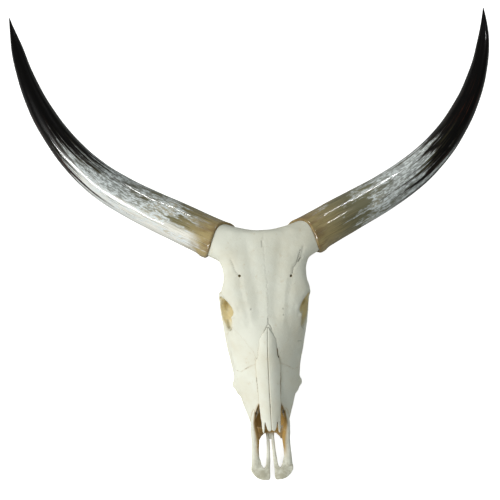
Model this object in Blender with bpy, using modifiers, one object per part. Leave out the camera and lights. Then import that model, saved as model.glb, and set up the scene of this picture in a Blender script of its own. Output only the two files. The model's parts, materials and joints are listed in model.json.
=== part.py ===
"""A longhorn steer skull at life size, without its lower jaw, lying on its cheek teeth.

The skull is modelled the way a sculptor would: rounded lumps are laid over each other,
fused into one skin, hollowed with cutters, thinned to a light mesh and then parted into
its bones with saw cuts along the real sutures. The two horn sheaths are lofts whose
centre lines follow a bend and a rise, and they sit over bony cores.

Places and sizes are in millimetres on the skull's own axes:
  X  across, positive towards the animal's left
  Y  along the skull, 0 at the front of the upper jaw and positive towards the poll
  Z  up, 0 at the floor that the cheek teeth stand on
"""

import math

import bmesh
import bpy
import numpy as np
from mathutils import Matrix, Vector

MM = 0.001

# The nasal bones.
NASAL_TIP_Y = 93.0
NASAL_THICKNESS = 4.5
NASAL_ARCH = 8.0
NASAL_SLOPE = 0.315

# Driving dimensions of the horns.
HORN_BASE = (87.5, 487.0, 158.0)
HORN_BASE_RADIUS = 41.0
SHEATH_WALL = 4.0
SOCKET_DEPTH = 16.0

# How far the skull bends sideways, by (y, amount): no real skull is quite straight.
SWAY = [(40, 2.6), (120, 0.6), (180, -0.8), (250, -1.5), (320, 0.5), (380, 0.5), (460, 0.0)]

# How the solids are made and parted.
CLAY_VOXEL = 2.6
SKIN_VOXEL = 2.0
SKULL_TRIANGLES = 2360
PREMAXILLA_TRIANGLES = 320
SAW_GAP = 0.4
FIT_GAP = 0.4
SLIVER = 0.05

BONE = (0.80, 0.78, 0.69, 1.0)
HORN = (0.20, 0.15, 0.10, 1.0)


# ---------------------------------------------------------------- helpers

def clear_scene():
    for obj in list(bpy.data.objects):
        bpy.data.objects.remove(obj)


def new_collection(name):
    made = bpy.data.collections.new(name)
    bpy.context.scene.collection.children.link(made)
    return made


def material(name, colour, roughness):
    made = bpy.data.materials.new(name)
    made.use_nodes = True
    shader = made.node_tree.nodes["Principled BSDF"]
    shader.inputs["Base Color"].default_value = colour
    shader.inputs["Roughness"].default_value = roughness
    return made


def spline(rows, t):
    """The Catmull-Rom curve through the rows, at t from 0 to 1."""
    rows = np.asarray(rows, float)
    place = min(max(t, 0.0), 1.0) * (len(rows) - 1)
    i = min(int(place), len(rows) - 2)
    f = place - i
    b, c = rows[i], rows[i + 1]
    a = rows[i - 1] if i > 0 else 2 * b - c
    d = rows[i + 2] if i + 2 < len(rows) else 2 * c - b
    return b + 0.5 * f * (c - a + f * (2 * a - 5 * b + 4 * c - d + f * (3 * (b - c) + d - a)))


def power(value, exponent):
    return math.copysign(abs(value) ** exponent, value)


def wrap_sphere(bm, place, around, along):
    """A closed sphere whose every point is moved to place(t, angle), t running pole to pole."""
    made = bmesh.ops.create_uvsphere(bm, u_segments=around, v_segments=along, radius=1)
    for vert in made["verts"]:
        t = math.acos(max(-1.0, min(1.0, -vert.co.z))) / math.pi
        vert.co = Vector(place(t, math.atan2(vert.co.y, vert.co.x))) * MM


def rounded_end(t, share):
    """1 along the middle, falling to 0 in a quarter circle over the share at either end."""
    near = min(t, 1 - t) / share
    return 1.0 if near >= 1 else math.sqrt(max(0.0, 1 - (1 - near) ** 2))


def add_body(bm, sections, square=2.3, around=32, along=40, share=0.08):
    """A body along Y. A section is (y, bottom z, top z, half widths at bottom, middle and top)."""
    def place(t, angle):
        y, low, high, at_low, at_middle, at_high = spline(sections, t)
        round_off = rounded_end(t, share)
        across = power(math.cos(angle), 2 / square)
        upward = power(math.sin(angle), 2 / square)
        f = (upward + 1) / 2
        half = at_low * (1 - f) * (1 - 2 * f) + at_middle * 4 * f * (1 - f) + at_high * f * (2 * f - 1)
        middle = (low + high) / 2
        return (across * half * round_off, y, middle + upward * (high - low) / 2 * round_off)
    wrap_sphere(bm, place, around, along)


def add_limb(bm, path, sizes, along_axis=(1, 0, 0), square=2.0, around=16, along=24, share=0.15):
    """A limb through the path's points. A size is (half extent towards along_axis, and across it)."""
    def place(t, angle):
        centre = Vector(spline(path, t))
        before, after = (Vector(spline(path, place)) for place in (max(0, t - 0.02), min(1, t + 0.02)))
        ahead = (after - before).normalized()
        side = Vector(along_axis)
        side = (side - side.dot(ahead) * ahead).normalized()
        other = ahead.cross(side)
        half, across = spline(sizes, t)
        round_off = rounded_end(t, share)
        return (centre + side * power(math.cos(angle), 2 / square) * half * round_off
                + other * power(math.sin(angle), 2 / square) * across * round_off)
    wrap_sphere(bm, place, around, along)


def add_lump(bm, centre, radii, turn=(0, 0, 0)):
    """An ellipsoid, turned by degrees about X, Y and Z."""
    made = bmesh.ops.create_uvsphere(bm, u_segments=20, v_segments=14, radius=1)
    turned = Matrix.Identity(4)
    for axis, degrees in zip("XYZ", turn):
        turned = Matrix.Rotation(math.radians(degrees), 4, axis) @ turned
    size = Matrix.Diagonal((*(r * MM for r in radii), 1))
    place = Matrix.Translation(Vector(centre) * MM) @ turned @ size
    bmesh.ops.transform(bm, matrix=place, verts=made["verts"])


def to_object(name, bm, collection):
    mesh = bpy.data.meshes.new(name)
    bm.to_mesh(mesh)
    bm.free()
    obj = bpy.data.objects.new(name, mesh)
    collection.objects.link(obj)
    return obj


def modify(obj, kind, **settings):
    made = obj.modifiers.new(kind.title(), kind)
    for name, value in settings.items():
        setattr(made, name, value)
    return made


def bake_modifiers(obj):
    """The object's mesh becomes what its modifiers make."""
    graph = bpy.context.evaluated_depsgraph_get()
    obj.data = bpy.data.meshes.new_from_object(obj.evaluated_get(graph))
    obj.modifiers.clear()
    return obj


def hide_cutter(obj):
    obj.hide_render = True
    obj.display_type = "WIRE"
    return obj


# ---------------------------------------------------------------- the skull's clay

def snout_clay(bm):
    """The two upper jaw bones with the palate: wide at the cheeks, narrow under the nasal bones."""
    add_body(bm, [
        (100, 17, 68, 26, 38, 32),
        (124, 17, 90, 32, 43, 34),
        (152, 16, 110, 38, 52, 27),
        (176, 16, 121, 45, 58, 26),
        (196, 16, 128, 49, 66, 27),
        (230, 16, 138, 52, 70, 32),
        (268, 18, 151, 54, 75, 42),
        (302, 30, 162, 46, 78, 56),
        (336, 62, 171, 34, 62, 62),
        (360, 92, 174, 20, 50, 56),
    ], square=2.6)
    add_body(bm, [
        (70, 18, 24, 22, 23, 22),
        (90, 18, 25, 30, 32, 30),
        (140, 17, 27, 34, 38, 34),
    ], square=5)
    add_limb(bm, [(33, 146, 24), (43, 180, 23), (47, 220, 23), (49, 260, 24), (47, 300, 32)],
             [(10, 9), (13, 10), (14, 10), (14, 11), (10, 12)])


def cheek_clay(bm):
    """The facial crest, the cheek bone below the eye and the arch that runs back from it."""
    add_lump(bm, (54, 203, 56), (15.5, 32, 20))
    add_lump(bm, (63.5, 197, 60), (9, 12, 12))
    add_limb(bm, [(58, 196, 54), (63, 235, 60), (70, 272, 68), (78, 306, 74), (84, 338, 76)],
             [(8, 11), (9, 13), (10, 14), (8, 13), (6, 9)])
    add_limb(bm, [(82, 330, 78), (86, 364, 82), (81, 394, 84), (75, 422, 86), (64, 444, 90)],
             [(5, 9), (4.5, 9), (4.5, 8), (6, 8), (9, 10)])
    add_lump(bm, (60, 414, 78), (24, 14, 8), turn=(0, -12, 0))
    add_lump(bm, (58, 318, 70), (20, 36, 18))
    add_lump(bm, (73, 350, 72), (15, 44, 10))


def forehead_clay(bm):
    """The broad frontal bones, from the eyes to the poll."""
    add_body(bm, [
        (296, 118, 154, 20, 40, 26),
        (316, 124, 165, 44, 60, 44),
        (342, 136, 175, 58, 68, 56),
        (362, 141, 180, 70, 77, 66),
        (381, 134, 184, 85, 91, 74),
        (404, 143, 189, 78, 85, 74),
        (428, 140, 194, 76, 85, 76),
        (454, 132, 199, 82, 94, 82),
        (480, 128, 201, 78, 92, 84),
        (505, 140, 199, 70, 85, 78),
    ], square=2.9, along=56, share=0.05)
    add_body(bm, [
        (330, 72, 165, 14, 30, 40),
        (370, 62, 172, 18, 40, 50),
        (410, 56, 180, 28, 48, 56),
        (440, 54, 186, 36, 55, 62),
        (470, 54, 190, 44, 61, 68),
        (494, 62, 190, 34, 56, 66),
    ], square=2.6)


def eye_rim_clay(bm):
    """The ring of bone round the eye socket."""
    add_limb(bm, [(66, 326, 147), (71, 350, 151), (83, 369, 146), (90, 380, 124), (89, 371, 98),
                  (87, 345, 80), (81, 314, 80), (72, 296, 98), (65, 302, 127), (66, 326, 147),
                  (71, 350, 151)],
             [(6, 7), (6, 7), (6, 8), (5, 8), (5, 8), (5, 9), (6, 9), (7, 8), (7, 7), (6, 7), (6, 7)],
             along=60, share=0.03)
    add_lump(bm, (62, 292, 98), (14, 30, 27))
    add_limb(bm, [(56, 380, 140), (66, 378, 124), (74, 376, 104), (76, 376, 86)],
             [(18, 6), (14, 6), (11, 6), (9, 6)])


def back_clay(bm):
    """The back of the skull: ear region, condyles, jugular processes and skull base."""
    add_lump(bm, (56, 452, 96), (18, 24, 32))
    add_limb(bm, [(0, 494, 188), (0, 490, 160), (0, 484, 126), (0, 482, 96)],
             [(84, 12), (78, 10), (66, 9), (58, 10)], square=2.6, around=28)
    add_lump(bm, (0, 488, 158), (14, 12, 22))
    add_lump(bm, (60, 495, 182), (26, 13, 16))
    add_lump(bm, (21, 488, 58), (13, 18, 20), turn=(18, 0, -14))
    add_limb(bm, [(50, 462, 84), (51, 465, 52), (47, 463, 22), (44, 459, -3)],
             [(8, 15), (7, 13), (5, 10), (4, 8)])
    add_limb(bm, [(0, 366, 72), (0, 404, 58), (0, 446, 53), (0, 486, 58)],
             [(11, 11), (14, 9), (20, 9), (20, 9)])
    add_lump(bm, (33, 428, 48), (9, 15, 14), turn=(0, 0, -16))
    add_limb(bm, [(44, 434, 66), (60, 440, 74), (76, 444, 82)], [(8, 8), (7, 7), (6, 6)],
             along_axis=(0, 1, 0))


def throat_clay(bm):
    """The thin upright plates on either side of the openings behind the palate."""
    add_limb(bm, [(30, 286, 44), (21, 310, 50), (18, 340, 54), (20, 374, 62)],
             [(4, 26), (3, 28), (3, 26), (3, 18)])
    add_limb(bm, [(20, 368, 66), (22, 378, 48), (24, 384, 36)], [(3, 9), (2.5, 6), (2, 4)])
    add_body(bm, [(270, 88, 128, 6, 12, 14), (310, 84, 130, 14, 20, 24), (360, 66, 130, 12, 18, 24),
                  (400, 58, 130, 14, 20, 24)])


def horn_neck_clay(bm):
    """The stout neck of bone under the rim of the horn."""
    root = Vector(HORN_BASE)
    side = (Vector((0.9, 0.43, -0.31))).normalized()
    add_limb(bm, [(40, 462, 160.5), (66, 476, 160.5), root, root + side * 16],
             [(40, 37), (39, 37), (37.5, 36), (37, 35)], along_axis=(0, 1, 0), square=2.5, around=28,
             share=0.1)
    add_limb(bm, [(-20, 474, 166), (20, 476, 167), (50, 480, 166), (74, 484, 163), (92, 488, 158)],
             [(29, 33), (29, 33), (31, 33), (34, 33), (35, 33)], along_axis=(0, 1, 0), square=2.8, around=28,
             share=0.1)


# ---------------------------------------------------------------- what is hollowed out

def cavity_cutters(bm):
    """The nasal cavity, open in front above the palate, and the passage behind the palate."""
    add_body(bm, [
        (60, 27, 60, 14, 30, 30),
        (96, 28, 66, 16, 31, 28),
        (124, 29, 84, 19, 32, 26),
        (140, 30, 97, 22, 34, 20),
        (156, 30, 104, 24, 42, 17),
        (190, 30, 116, 30, 50, 18),
        (230, 31, 128, 32, 50, 20),
        (270, 34, 138, 30, 46, 20),
        (306, 46, 146, 18, 30, 20),
        (336, 60, 132, 8, 14, 12),
    ], square=2.5)
    add_body(bm, [(286, 48, 84, 10, 14, 12), (316, 22, 84, 13, 15, 12), (350, 10, 80, 14, 15, 12),
                  (384, 10, 70, 13, 14, 11)], around=20, along=20)


# The notch in the upper rim of the eye socket, seen from above as (x, y), and the heights it spans.
EYE_NOTCH = [(93, 381), (84, 371), (76, 361), (69, 350), (66.5, 342), (68, 335), (74, 331), (76, 318),
             (77, 306), (88, 306), (90, 330), (92, 355)]
EYE_NOTCH_LOW = 112.0
EYE_NOTCH_HIGH = 172.0


def socket_cutters(bm):
    """The eye sockets and the notch in their rim, the spinal opening and the palate's hollow."""
    outline = [bm.verts.new(Vector((x, y, EYE_NOTCH_LOW)) * MM) for x, y in EYE_NOTCH]
    raised = bmesh.ops.extrude_face_region(bm, geom=[bm.faces.new(outline)])
    verts = [v for v in raised["geom"] if isinstance(v, bmesh.types.BMVert)]
    bmesh.ops.translate(bm, vec=(0, 0, (EYE_NOTCH_HIGH - EYE_NOTCH_LOW) * MM), verts=verts)
    add_limb(bm, [(122, 324, 126), (92, 335, 118), (68, 342, 113), (42, 352, 108), (26, 362, 104)],
             [(31, 31), (31, 31), (34, 33), (26, 26), (10, 10)], along_axis=(0, 1, 0), around=28, share=0.1)
    add_limb(bm, [(0, 530, 70), (0, 484, 74), (0, 440, 92)], [(17, 17), (16, 15), (9, 9)], around=20)
    add_limb(bm, [(0, 128, 8), (0, 200, 9), (0, 300, 12)], [(24, 8), (30, 10), (26, 11)], around=20)


# ---------------------------------------------------------------- bones made on their own

def grid_slab(name, columns, rows, place, collection):
    """A closed slab. place(across, along, is_upper) gives each point, both shares from 0 to 1."""
    bm = bmesh.new()
    bmesh.ops.create_grid(bm, x_segments=columns, y_segments=rows, size=0.5)
    lower = list(bm.verts)
    pushed = bmesh.ops.extrude_face_region(bm, geom=list(bm.faces), use_keep_orig=True)
    upper = [v for v in pushed["geom"] if isinstance(v, bmesh.types.BMVert)]
    for verts, is_upper in ((lower, False), (upper, True)):
        for vert in verts:
            vert.co = Vector(place(vert.co.x + 0.5, vert.co.y + 0.5, is_upper)) * MM
    bmesh.ops.recalc_face_normals(bm, faces=bm.faces)
    return to_object(name, bm, collection)


def through(rows, y):
    """The value at y of a table of (y, value), in straight lines."""
    ys, values = zip(*rows)
    return float(np.interp(y, ys, values))


# The opening of the nose beside the nasal bones, as (y, half width, height of its floor).
NOSE_NOTCH = [(60, 39, 34), (92, 37, 42), (117, 34, 62), (135, 31, 82), (149, 26, 92), (158, 20, 98)]
NOTCH_TOP = 150.0


def nose_notch(collection):
    """The opening beside the nasal bones, wide in front and running back to a point."""
    def place(across, along, is_upper):
        y, half, floor = NOSE_NOTCH[round(along * (len(NOSE_NOTCH) - 1))]
        return (2 * across - 1) * half, y, NOTCH_TOP if is_upper else floor
    return grid_slab("nose_notch", 1, len(NOSE_NOTCH) - 1, place, collection)


# Half the width of the nasal bones together, by (y, half width).
NASAL_HALF_WIDTHS = [(93, 18.6), (109, 19.6), (125, 20.6), (150, 22.6), (180, 23.2), (210, 25), (232, 25.6),
                     (240, 25.4), (250, 20.5), (262, 19), (284, 17), (296, 10), (306, 2)]
# The forked tip, as (share of the bone's width from the midline, y of the front edge).
NASAL_FORK = [(0, 101), (0.2, 97.6), (0.4, 101), (0.6, 117), (0.8, 96), (1, 95)]
FORK_REACH = 45.0
NASAL_GAP = 0.8
SEAT_FRONT_Y = 60.0
SEAT_CLEARANCE = 26.0


def bridge(x, y, height):
    """A point at a height above the bridge of the nose, a straight slope that is arched across."""
    tilt = 1.8 * NASAL_ARCH / 24 * power(x / 24, 0.8)
    outward = Vector((tilt, -NASAL_SLOPE, 1)).normalized()
    top = 98.0 + NASAL_SLOPE * (y - NASAL_TIP_Y) - NASAL_ARCH * (abs(x) / 24) ** 1.8
    return Vector((x, y, top)) + outward * height


def nasal_row(along):
    """The y and half width of a row of the table: the bones and their bed share these rows."""
    return NASAL_HALF_WIDTHS[round(along * (len(NASAL_HALF_WIDTHS) - 1))]


def nasal_bone(name, side, collection):
    """One nasal bone: an arched plate with a forked tip."""
    def place(across, along, is_upper):
        y, half = nasal_row(along)
        y += (through(NASAL_FORK, across) - NASAL_TIP_Y) * max(0, 1 - (y - NASAL_TIP_Y) / FORK_REACH)
        x = SAW_GAP / 2 + (half - SAW_GAP / 2) * across
        return bridge(side * x, y, 0 if is_upper else -NASAL_THICKNESS)
    return grid_slab(name, 5, len(NASAL_HALF_WIDTHS) - 1, place, collection)


def nasal_seat(collection):
    """The bed that the nasal bones lie in, cut from the roof of the snout."""
    def place(across, along, is_upper):
        y, half = nasal_row(along)
        if along < 0.01:
            y = SEAT_FRONT_Y
        if along > 0.99:
            y += NASAL_GAP
        height = SEAT_CLEARANCE if is_upper else -NASAL_THICKNESS - FIT_GAP
        return bridge((2 * across - 1) * (half + NASAL_GAP), y, height)
    return grid_slab("nasal_seat", 10, len(NASAL_HALF_WIDTHS) - 1, place, collection)


# The hole in the premaxilla seen from above, as (y, near edge, far edge), measured from the midline.
FISSURE = [(19, 16, 18), (23, 13.6, 20.5), (27, 12.1, 22.6), (44, 10.2, 26.2), (60, 8.9, 25.6),
           (76, 8.3, 23.8), (84, 8.2, 20), (89, 8.6, 15), (92, 9.6, 10.6)]
FISSURE_TOP = 60.0
FISSURE_BOTTOM = -5.0
# The pad at the jaw's tip seen from above, as (y, distance from the midline) of its two edges.
PAD_INNER = [(-6.5, 8), (-5.3, 5.8), (0, 5), (28, 4.7), (38, 5)]
PAD_OUTER = [(-6.5, 19), (-5.6, 24), (-3, 29.5), (0, 34), (4, 38.2), (8, 41), (15, 44.6), (20, 44.4),
             (28, 42.8), (38, 42)]


def fissure(side, collection):
    """The long hole between the rising bar and the spike, which also notches the palate's front edge."""
    def place(across, along, is_upper):
        y, near, far = FISSURE[round(along * (len(FISSURE) - 1))]
        return side * (near + (far - near) * across), y, FISSURE_TOP if is_upper else FISSURE_BOTTOM
    return grid_slab("fissure", 1, len(FISSURE) - 1, place, collection)


def jaw_tip_pad(collection):
    """The flat pad at the very front of the jaw."""
    def place(across, along, is_upper):
        y = PAD_INNER[0][0] + (PAD_INNER[-1][0] - PAD_INNER[0][0]) * along
        near, far = through(PAD_INNER, y), through(PAD_OUTER, y)
        crown = 1.6 * math.sin(math.pi * across) + 4.5 * along
        return near + (far - near) * across, y, 17.5 + crown if is_upper else 8.8 + 3.2 * along
    return grid_slab("jaw_tip_pad", 10, 16, place, collection)


def jaw_tip_clay(bm):
    """The rising bar and the spike of one premaxilla."""
    add_limb(bm, [(33.6, 18, 17.5), (34, 40, 20), (33.6, 62, 27), (32.6, 78, 36), (33.3, 96, 48),
                  (35.4, 118, 66), (33.4, 134, 80), (30.5, 147, 92)],
             [(8, 6), (8, 6), (8, 7), (8.6, 9), (8, 12), (5.4, 11), (3.6, 7), (2.4, 3)],
             square=2.6, along=40)
    add_limb(bm, [(9.6, 14, 16), (6.8, 42, 18), (5.6, 62, 20), (5.4, 80, 23), (5.4, 92, 26)],
             [(5, 5), (3.8, 4), (3.5, 3.8), (3.2, 3.4), (2.6, 2.6)], square=3)


# Cheek teeth from front to back: (length, width, middle's distance from the midline), in millimetres.
TEETH_START_Y = 160.0
TOOTH_TOP = 34.0
TOOTH_GAP = 1.0
TEETH = [(13, 15, 38), (17, 18, 41), (17, 20, 43), (25, 23, 46), (28, 24, 47), (29, 23, 46)]


def tooth_row(side, collection):
    """Six square-crowned cheek teeth, standing on the floor with their roots in the jaw."""
    bm = bmesh.new()
    y = TEETH_START_Y
    for length, width, middle in TEETH:
        made = bmesh.ops.create_cube(bm, size=1)
        place = Matrix.Translation(Vector((side * middle, y + length / 2, TOOTH_TOP / 2)) * MM)
        size = Matrix.Diagonal((width * MM, (length - TOOTH_GAP) * MM, TOOTH_TOP * MM, 1))
        bmesh.ops.transform(bm, matrix=place @ size, verts=made["verts"])
        upright = [e for e in set(e for v in made["verts"] for e in v.link_edges)
                   if abs(e.verts[0].co.z - e.verts[1].co.z) > MM]
        bmesh.ops.bevel(bm, geom=upright, offset=3 * MM, segments=1, affect="EDGES")
        y += length
    return to_object("tooth_row", bm, collection)


# ---------------------------------------------------------------- horns

# A horn is walked from its base with a heading that bends and rises, in degrees: the bend is
# measured from straight across the skull towards the poll, and the rise is out of the floor's plane.
HORN_RADII = [1.0, 1.0, 0.975, 0.93, 0.88, 0.79, 0.68, 0.575, 0.445, 0.30, 0.02]
HORN_RISE = [-18, -16, -10, -2, 6, 12, 15, 16, 14, 10, 6]
HORNS = {
    "horn_left": {"side": 1, "length": 661.0,
                  "bend": [29.3, 28.3, 26.9, 28.9, 33.9, 43.5, 53.7, 63.9, 73.7, 83, 92.8]},
    "horn_right": {"side": -1, "length": 671.0,
                   "bend": [30.2, 30.1, 29, 30.3, 36.3, 46.1, 55.2, 63.3, 72, 77.7, 78.4]},
}
RIM_SKEW = (0.245, 0.10, -0.20)
RIM_LIP = 2.5


def horn_line(length, bend, steps=120):
    """Points of a horn's centre line."""
    points = [Vector(HORN_BASE)]
    for i in range(steps):
        t = (i + 0.5) / steps
        turn, lift = (math.radians(spline(angles, t)) for angles in (bend, HORN_RISE))
        step = Vector((math.cos(turn) * math.cos(lift), math.sin(turn) * math.cos(lift), math.sin(lift)))
        points.append(points[-1] + step * length / steps)
    return points


def horn_radius(t):
    return HORN_BASE_RADIUS * float(spline(HORN_RADII, max(t, 0)))


def horn_point(line, t, angle, radius):
    """A point round the horn at t along its line. The rim is cut askew, and that fades along the horn."""
    place = t * (len(line) - 1)
    i = max(0, min(int(place), len(line) - 2))
    centre = line[i].lerp(line[i + 1], place - i)
    ahead = (line[min(i + 2, len(line) - 1)] - line[max(i - 1, 0)]).normalized()
    front = ahead.cross(Vector((0, 0, 1))).normalized()
    up = front.cross(ahead)
    skew = math.exp(-max(t, 0) / 0.07)
    waves = (math.cos(angle), math.sin(angle), math.sin(2 * angle))
    slip = sum(amount * wave for amount, wave in zip(RIM_SKEW, waves))
    return (centre + front * math.cos(angle) * radius + up * math.sin(angle) * radius * 0.94
            + ahead * slip * radius * skew)


def horn_loft(name, collection, side, length, bend, rings, around=16):
    """A closed skin over rings of (t, radius) along a horn's line."""
    line = horn_line(length, bend)
    bm = bmesh.new()
    bmesh.ops.create_cone(bm, cap_ends=True, segments=around, radius1=1, radius2=1, depth=len(rings) - 1)
    lengthwise = [e for e in bm.edges if abs(e.verts[0].co.z - e.verts[1].co.z) > 0.5]
    bmesh.ops.subdivide_edges(bm, edges=lengthwise, cuts=len(rings) - 2)
    for vert in bm.verts:
        t, radius = rings[round(vert.co.z + (len(rings) - 1) / 2)]
        place = horn_point(line, t, math.atan2(vert.co.y, vert.co.x), radius)
        place.x *= side
        vert.co = place * MM
    bmesh.ops.poke(bm, faces=[face for face in bm.faces if len(face.verts) > 4])
    bmesh.ops.recalc_face_normals(bm, faces=bm.faces)
    return to_object(name, bm, collection)


def sheath_rings(length, count=24):
    """A sheath from its socket's floor, up the socket's wall, round the rim and out to the tip."""
    rings = []
    for t in (SOCKET_DEPTH / length, 0):
        rings.append((t, horn_radius(t) - SHEATH_WALL))
    for i in range(count):
        t = (i / (count - 1)) ** 1.1
        rings.append((t, horn_radius(t) + RIM_LIP * math.exp(-t * length / 14)))
    return rings


# ---------------------------------------------------------------- parting the skull

# Bones parted from the rest of the skull, in this order. An outline is seen from the side as (y, z),
# and the bone takes everything inside it that lies further than "inner" from the midline.
PARTED_BONES = {
    "zygomatic": {"inner": 56.0, "outline": [
        (228, 88), (246, 62), (258, 40), (310, 40), (396, 60), (390, 110), (364, 110), (352, 96), (322, 96),
        (306, 102), (292, 90)]},
    "lacrimal": {"inner": 12.0, "outline": [
        (222, 104), (228, 88), (292, 90), (306, 102), (318, 100), (313, 138), (262, 140), (236, 132)]},
    "maxilla": {"inner": SAW_GAP / 2, "outline": [
        (80, -20), (312, -20), (312, 38), (300, 56), (292, 90), (228, 88), (222, 104), (236, 132), (244, 170),
        (80, 170)]},
}


def grown(outline, gap):
    """The outline with every side moved outwards by the gap."""
    points = [Vector(p) for p in outline]
    turning = sum(a.x * b.y - b.x * a.y for a, b in zip(points, points[1:] + points[:1]))
    moved = []
    for i, point in enumerate(points):
        before = (point - points[i - 1]).normalized()
        after = (points[(i + 1) % len(points)] - point).normalized()
        outward = Vector((before.y + after.y, -before.x - after.x)) * math.copysign(1, turning)
        moved.append(point + outward * gap / (1 + before.dot(after)))
    return moved


def cell(name, side, inner, outline, collection):
    """A slab with the outline as its shape seen from the side."""
    bm = bmesh.new()
    flat = [bm.verts.new(Vector((side * inner, y, z)) * MM) for y, z in outline]
    face = bm.faces.new(flat)
    pushed = bmesh.ops.extrude_face_region(bm, geom=[face])
    verts = [v for v in pushed["geom"] if isinstance(v, bmesh.types.BMVert)]
    bmesh.ops.translate(bm, vec=Vector((side * (140 - inner) * MM, 0, 0)), verts=verts)
    bmesh.ops.recalc_face_normals(bm, faces=bm.faces)
    return hide_cutter(to_object(name, bm, collection))


def boolean(obj, operation, other):
    """Bakes one Boolean into the object, then closes up the slivers that it leaves."""
    modify(obj, "BOOLEAN", operation=operation, object=other, solver="EXACT")
    bake_modifiers(obj)
    bm = bmesh.new()
    bm.from_mesh(obj.data)
    bmesh.ops.triangulate(bm, faces=bm.faces)
    bmesh.ops.dissolve_degenerate(bm, edges=bm.edges, dist=SLIVER * MM)
    bmesh.ops.triangulate(bm, faces=bm.faces)
    bm.to_mesh(obj.data)
    bm.free()
    return obj


def flip_across(obj):
    """Mirrors a mesh through the midline."""
    bm = bmesh.new()
    bm.from_mesh(obj.data)
    bmesh.ops.transform(bm, matrix=Matrix.Diagonal((-1, 1, 1, 1)), verts=bm.verts)
    bmesh.ops.reverse_faces(bm, faces=bm.faces)
    bm.to_mesh(obj.data)
    bm.free()


def fused(name, makers, collection, voxel, smooth, mirror=True):
    """The lumps laid by the makers, fused into one skin."""
    bm = bmesh.new()
    for maker in makers:
        maker(bm)
    obj = to_object(name, bm, collection)
    if mirror:
        modify(obj, "MIRROR", use_clip=False, use_mirror_merge=False)
    modify(obj, "REMESH", mode="VOXEL", voxel_size=voxel * MM)
    modify(obj, "SMOOTH", factor=0.5, iterations=smooth)
    return bake_modifiers(obj)


def thin_to(obj, triangles):
    count = sum(len(p.vertices) - 2 for p in obj.data.polygons)
    modify(obj, "DECIMATE", ratio=triangles / count)
    return bake_modifiers(obj)


def build_skull(cutters):
    """The whole skull as one mesh: fused clay, hollowed, refined, thinned, and seated on the floor."""
    skull = fused("skull_clay", [snout_clay, cheek_clay, forehead_clay, eye_rim_clay, back_clay, throat_clay,
                                 horn_neck_clay], cutters, CLAY_VOXEL, 2)
    hollows = hide_cutter(fused("hollows", [cavity_cutters, socket_cutters], cutters, CLAY_VOXEL, 2))
    boolean(skull, "DIFFERENCE", hollows)
    modify(skull, "REMESH", mode="VOXEL", voxel_size=SKIN_VOXEL * MM)
    modify(skull, "SMOOTH", factor=0.5, iterations=3)
    bake_modifiers(skull)
    thin_to(skull, SKULL_TRIANGLES)
    floor = bmesh.new()
    bmesh.ops.create_cube(floor, size=1, matrix=Matrix.Translation((0, 0.25, -0.5)))
    return boolean(skull, "DIFFERENCE", hide_cutter(to_object("below_the_floor", floor, cutters)))


def largest_piece(obj):
    """Drops every loose crumb that the cuts left, keeping the piece with the most faces."""
    bm = bmesh.new()
    bm.from_mesh(obj.data)
    bm.verts.ensure_lookup_table()
    unseen = set(bm.verts)
    pieces = []
    while unseen:
        edge_of = [unseen.pop()]
        piece = set(edge_of)
        while edge_of:
            for edge in edge_of.pop().link_edges:
                for vert in edge.verts:
                    if vert in unseen:
                        unseen.discard(vert)
                        piece.add(vert)
                        edge_of.append(vert)
        pieces.append(piece)
    pieces.sort(key=len)
    bmesh.ops.delete(bm, geom=[v for piece in pieces[:-1] for v in piece], context="VERTS")
    bm.to_mesh(obj.data)
    bm.free()


def copy_of(obj, name, collection):
    made = bpy.data.objects.new(name, obj.data.copy())
    collection.objects.link(made)
    return made


def add_horns(skull, parts, cutters):
    for name, horn in HORNS.items():
        length = horn["length"]
        horn_loft(name, parts, rings=sheath_rings(length), **horn)
        clearing = [(-FIT_GAP / length, 62), (0.12, 62)]
        clearing_loft = horn_loft(name + "_clearing", cutters, rings=clearing, **horn)
        boolean(skull, "DIFFERENCE", hide_cutter(clearing_loft))
        core_radius = HORN_BASE_RADIUS - SHEATH_WALL - FIT_GAP
        core_end = (SOCKET_DEPTH - FIT_GAP) / length
        core = [(-14 / length, core_radius - 3), (0, core_radius), (core_end, core_radius - 1)]
        boolean(skull, "UNION", hide_cutter(horn_loft(name + "_core", cutters, rings=core, **horn)))


def part_bones(skull, parts, cutters):
    """Cuts the face bones from the skull, a pair at a time. What is left is the cranium."""
    for bone, shape in PARTED_BONES.items():
        for side, which in ((1, "left"), (-1, "right")):
            name = bone + "_" + which
            piece = copy_of(skull, name, parts)
            inner, outline = shape["inner"], shape["outline"]
            boolean(piece, "INTERSECT", cell(name + "_cell", side, inner, outline, cutters))
            wider = grown(outline, SAW_GAP)
            boolean(skull, "DIFFERENCE", cell(name + "_gap", side, inner - SAW_GAP, wider, cutters))
            largest_piece(piece)
    largest_piece(skull)
    skull.name = "cranium"
    cutters.objects.unlink(skull)
    parts.objects.link(skull)


def jaw_tip(name, side, parts, cutters):
    """One premaxilla, with its rounded edges, its hole and its mirrored twin's side."""
    pad = hide_cutter(jaw_tip_pad(cutters))
    tip = fused(name, [jaw_tip_clay, lambda bm: bm.from_mesh(pad.data)], parts, 1.6, 2, mirror=False)
    boolean(tip, "DIFFERENCE", hide_cutter(fissure(1, cutters)))
    modify(tip, "REMESH", mode="VOXEL", voxel_size=1.4 * MM)
    modify(tip, "SMOOTH", factor=0.5, iterations=2)
    bake_modifiers(tip)
    thin_to(tip, PREMAXILLA_TRIANGLES)
    if side < 0:
        flip_across(tip)
    return tip


def bend_sideways(parts):
    """Gives every bone the skull's slight sideways sway. The horns stay as they are."""
    for obj in parts.objects:
        if obj.name not in HORNS:
            for vert in obj.data.vertices:
                vert.co.x += through(SWAY, vert.co.y / MM) * MM


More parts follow.
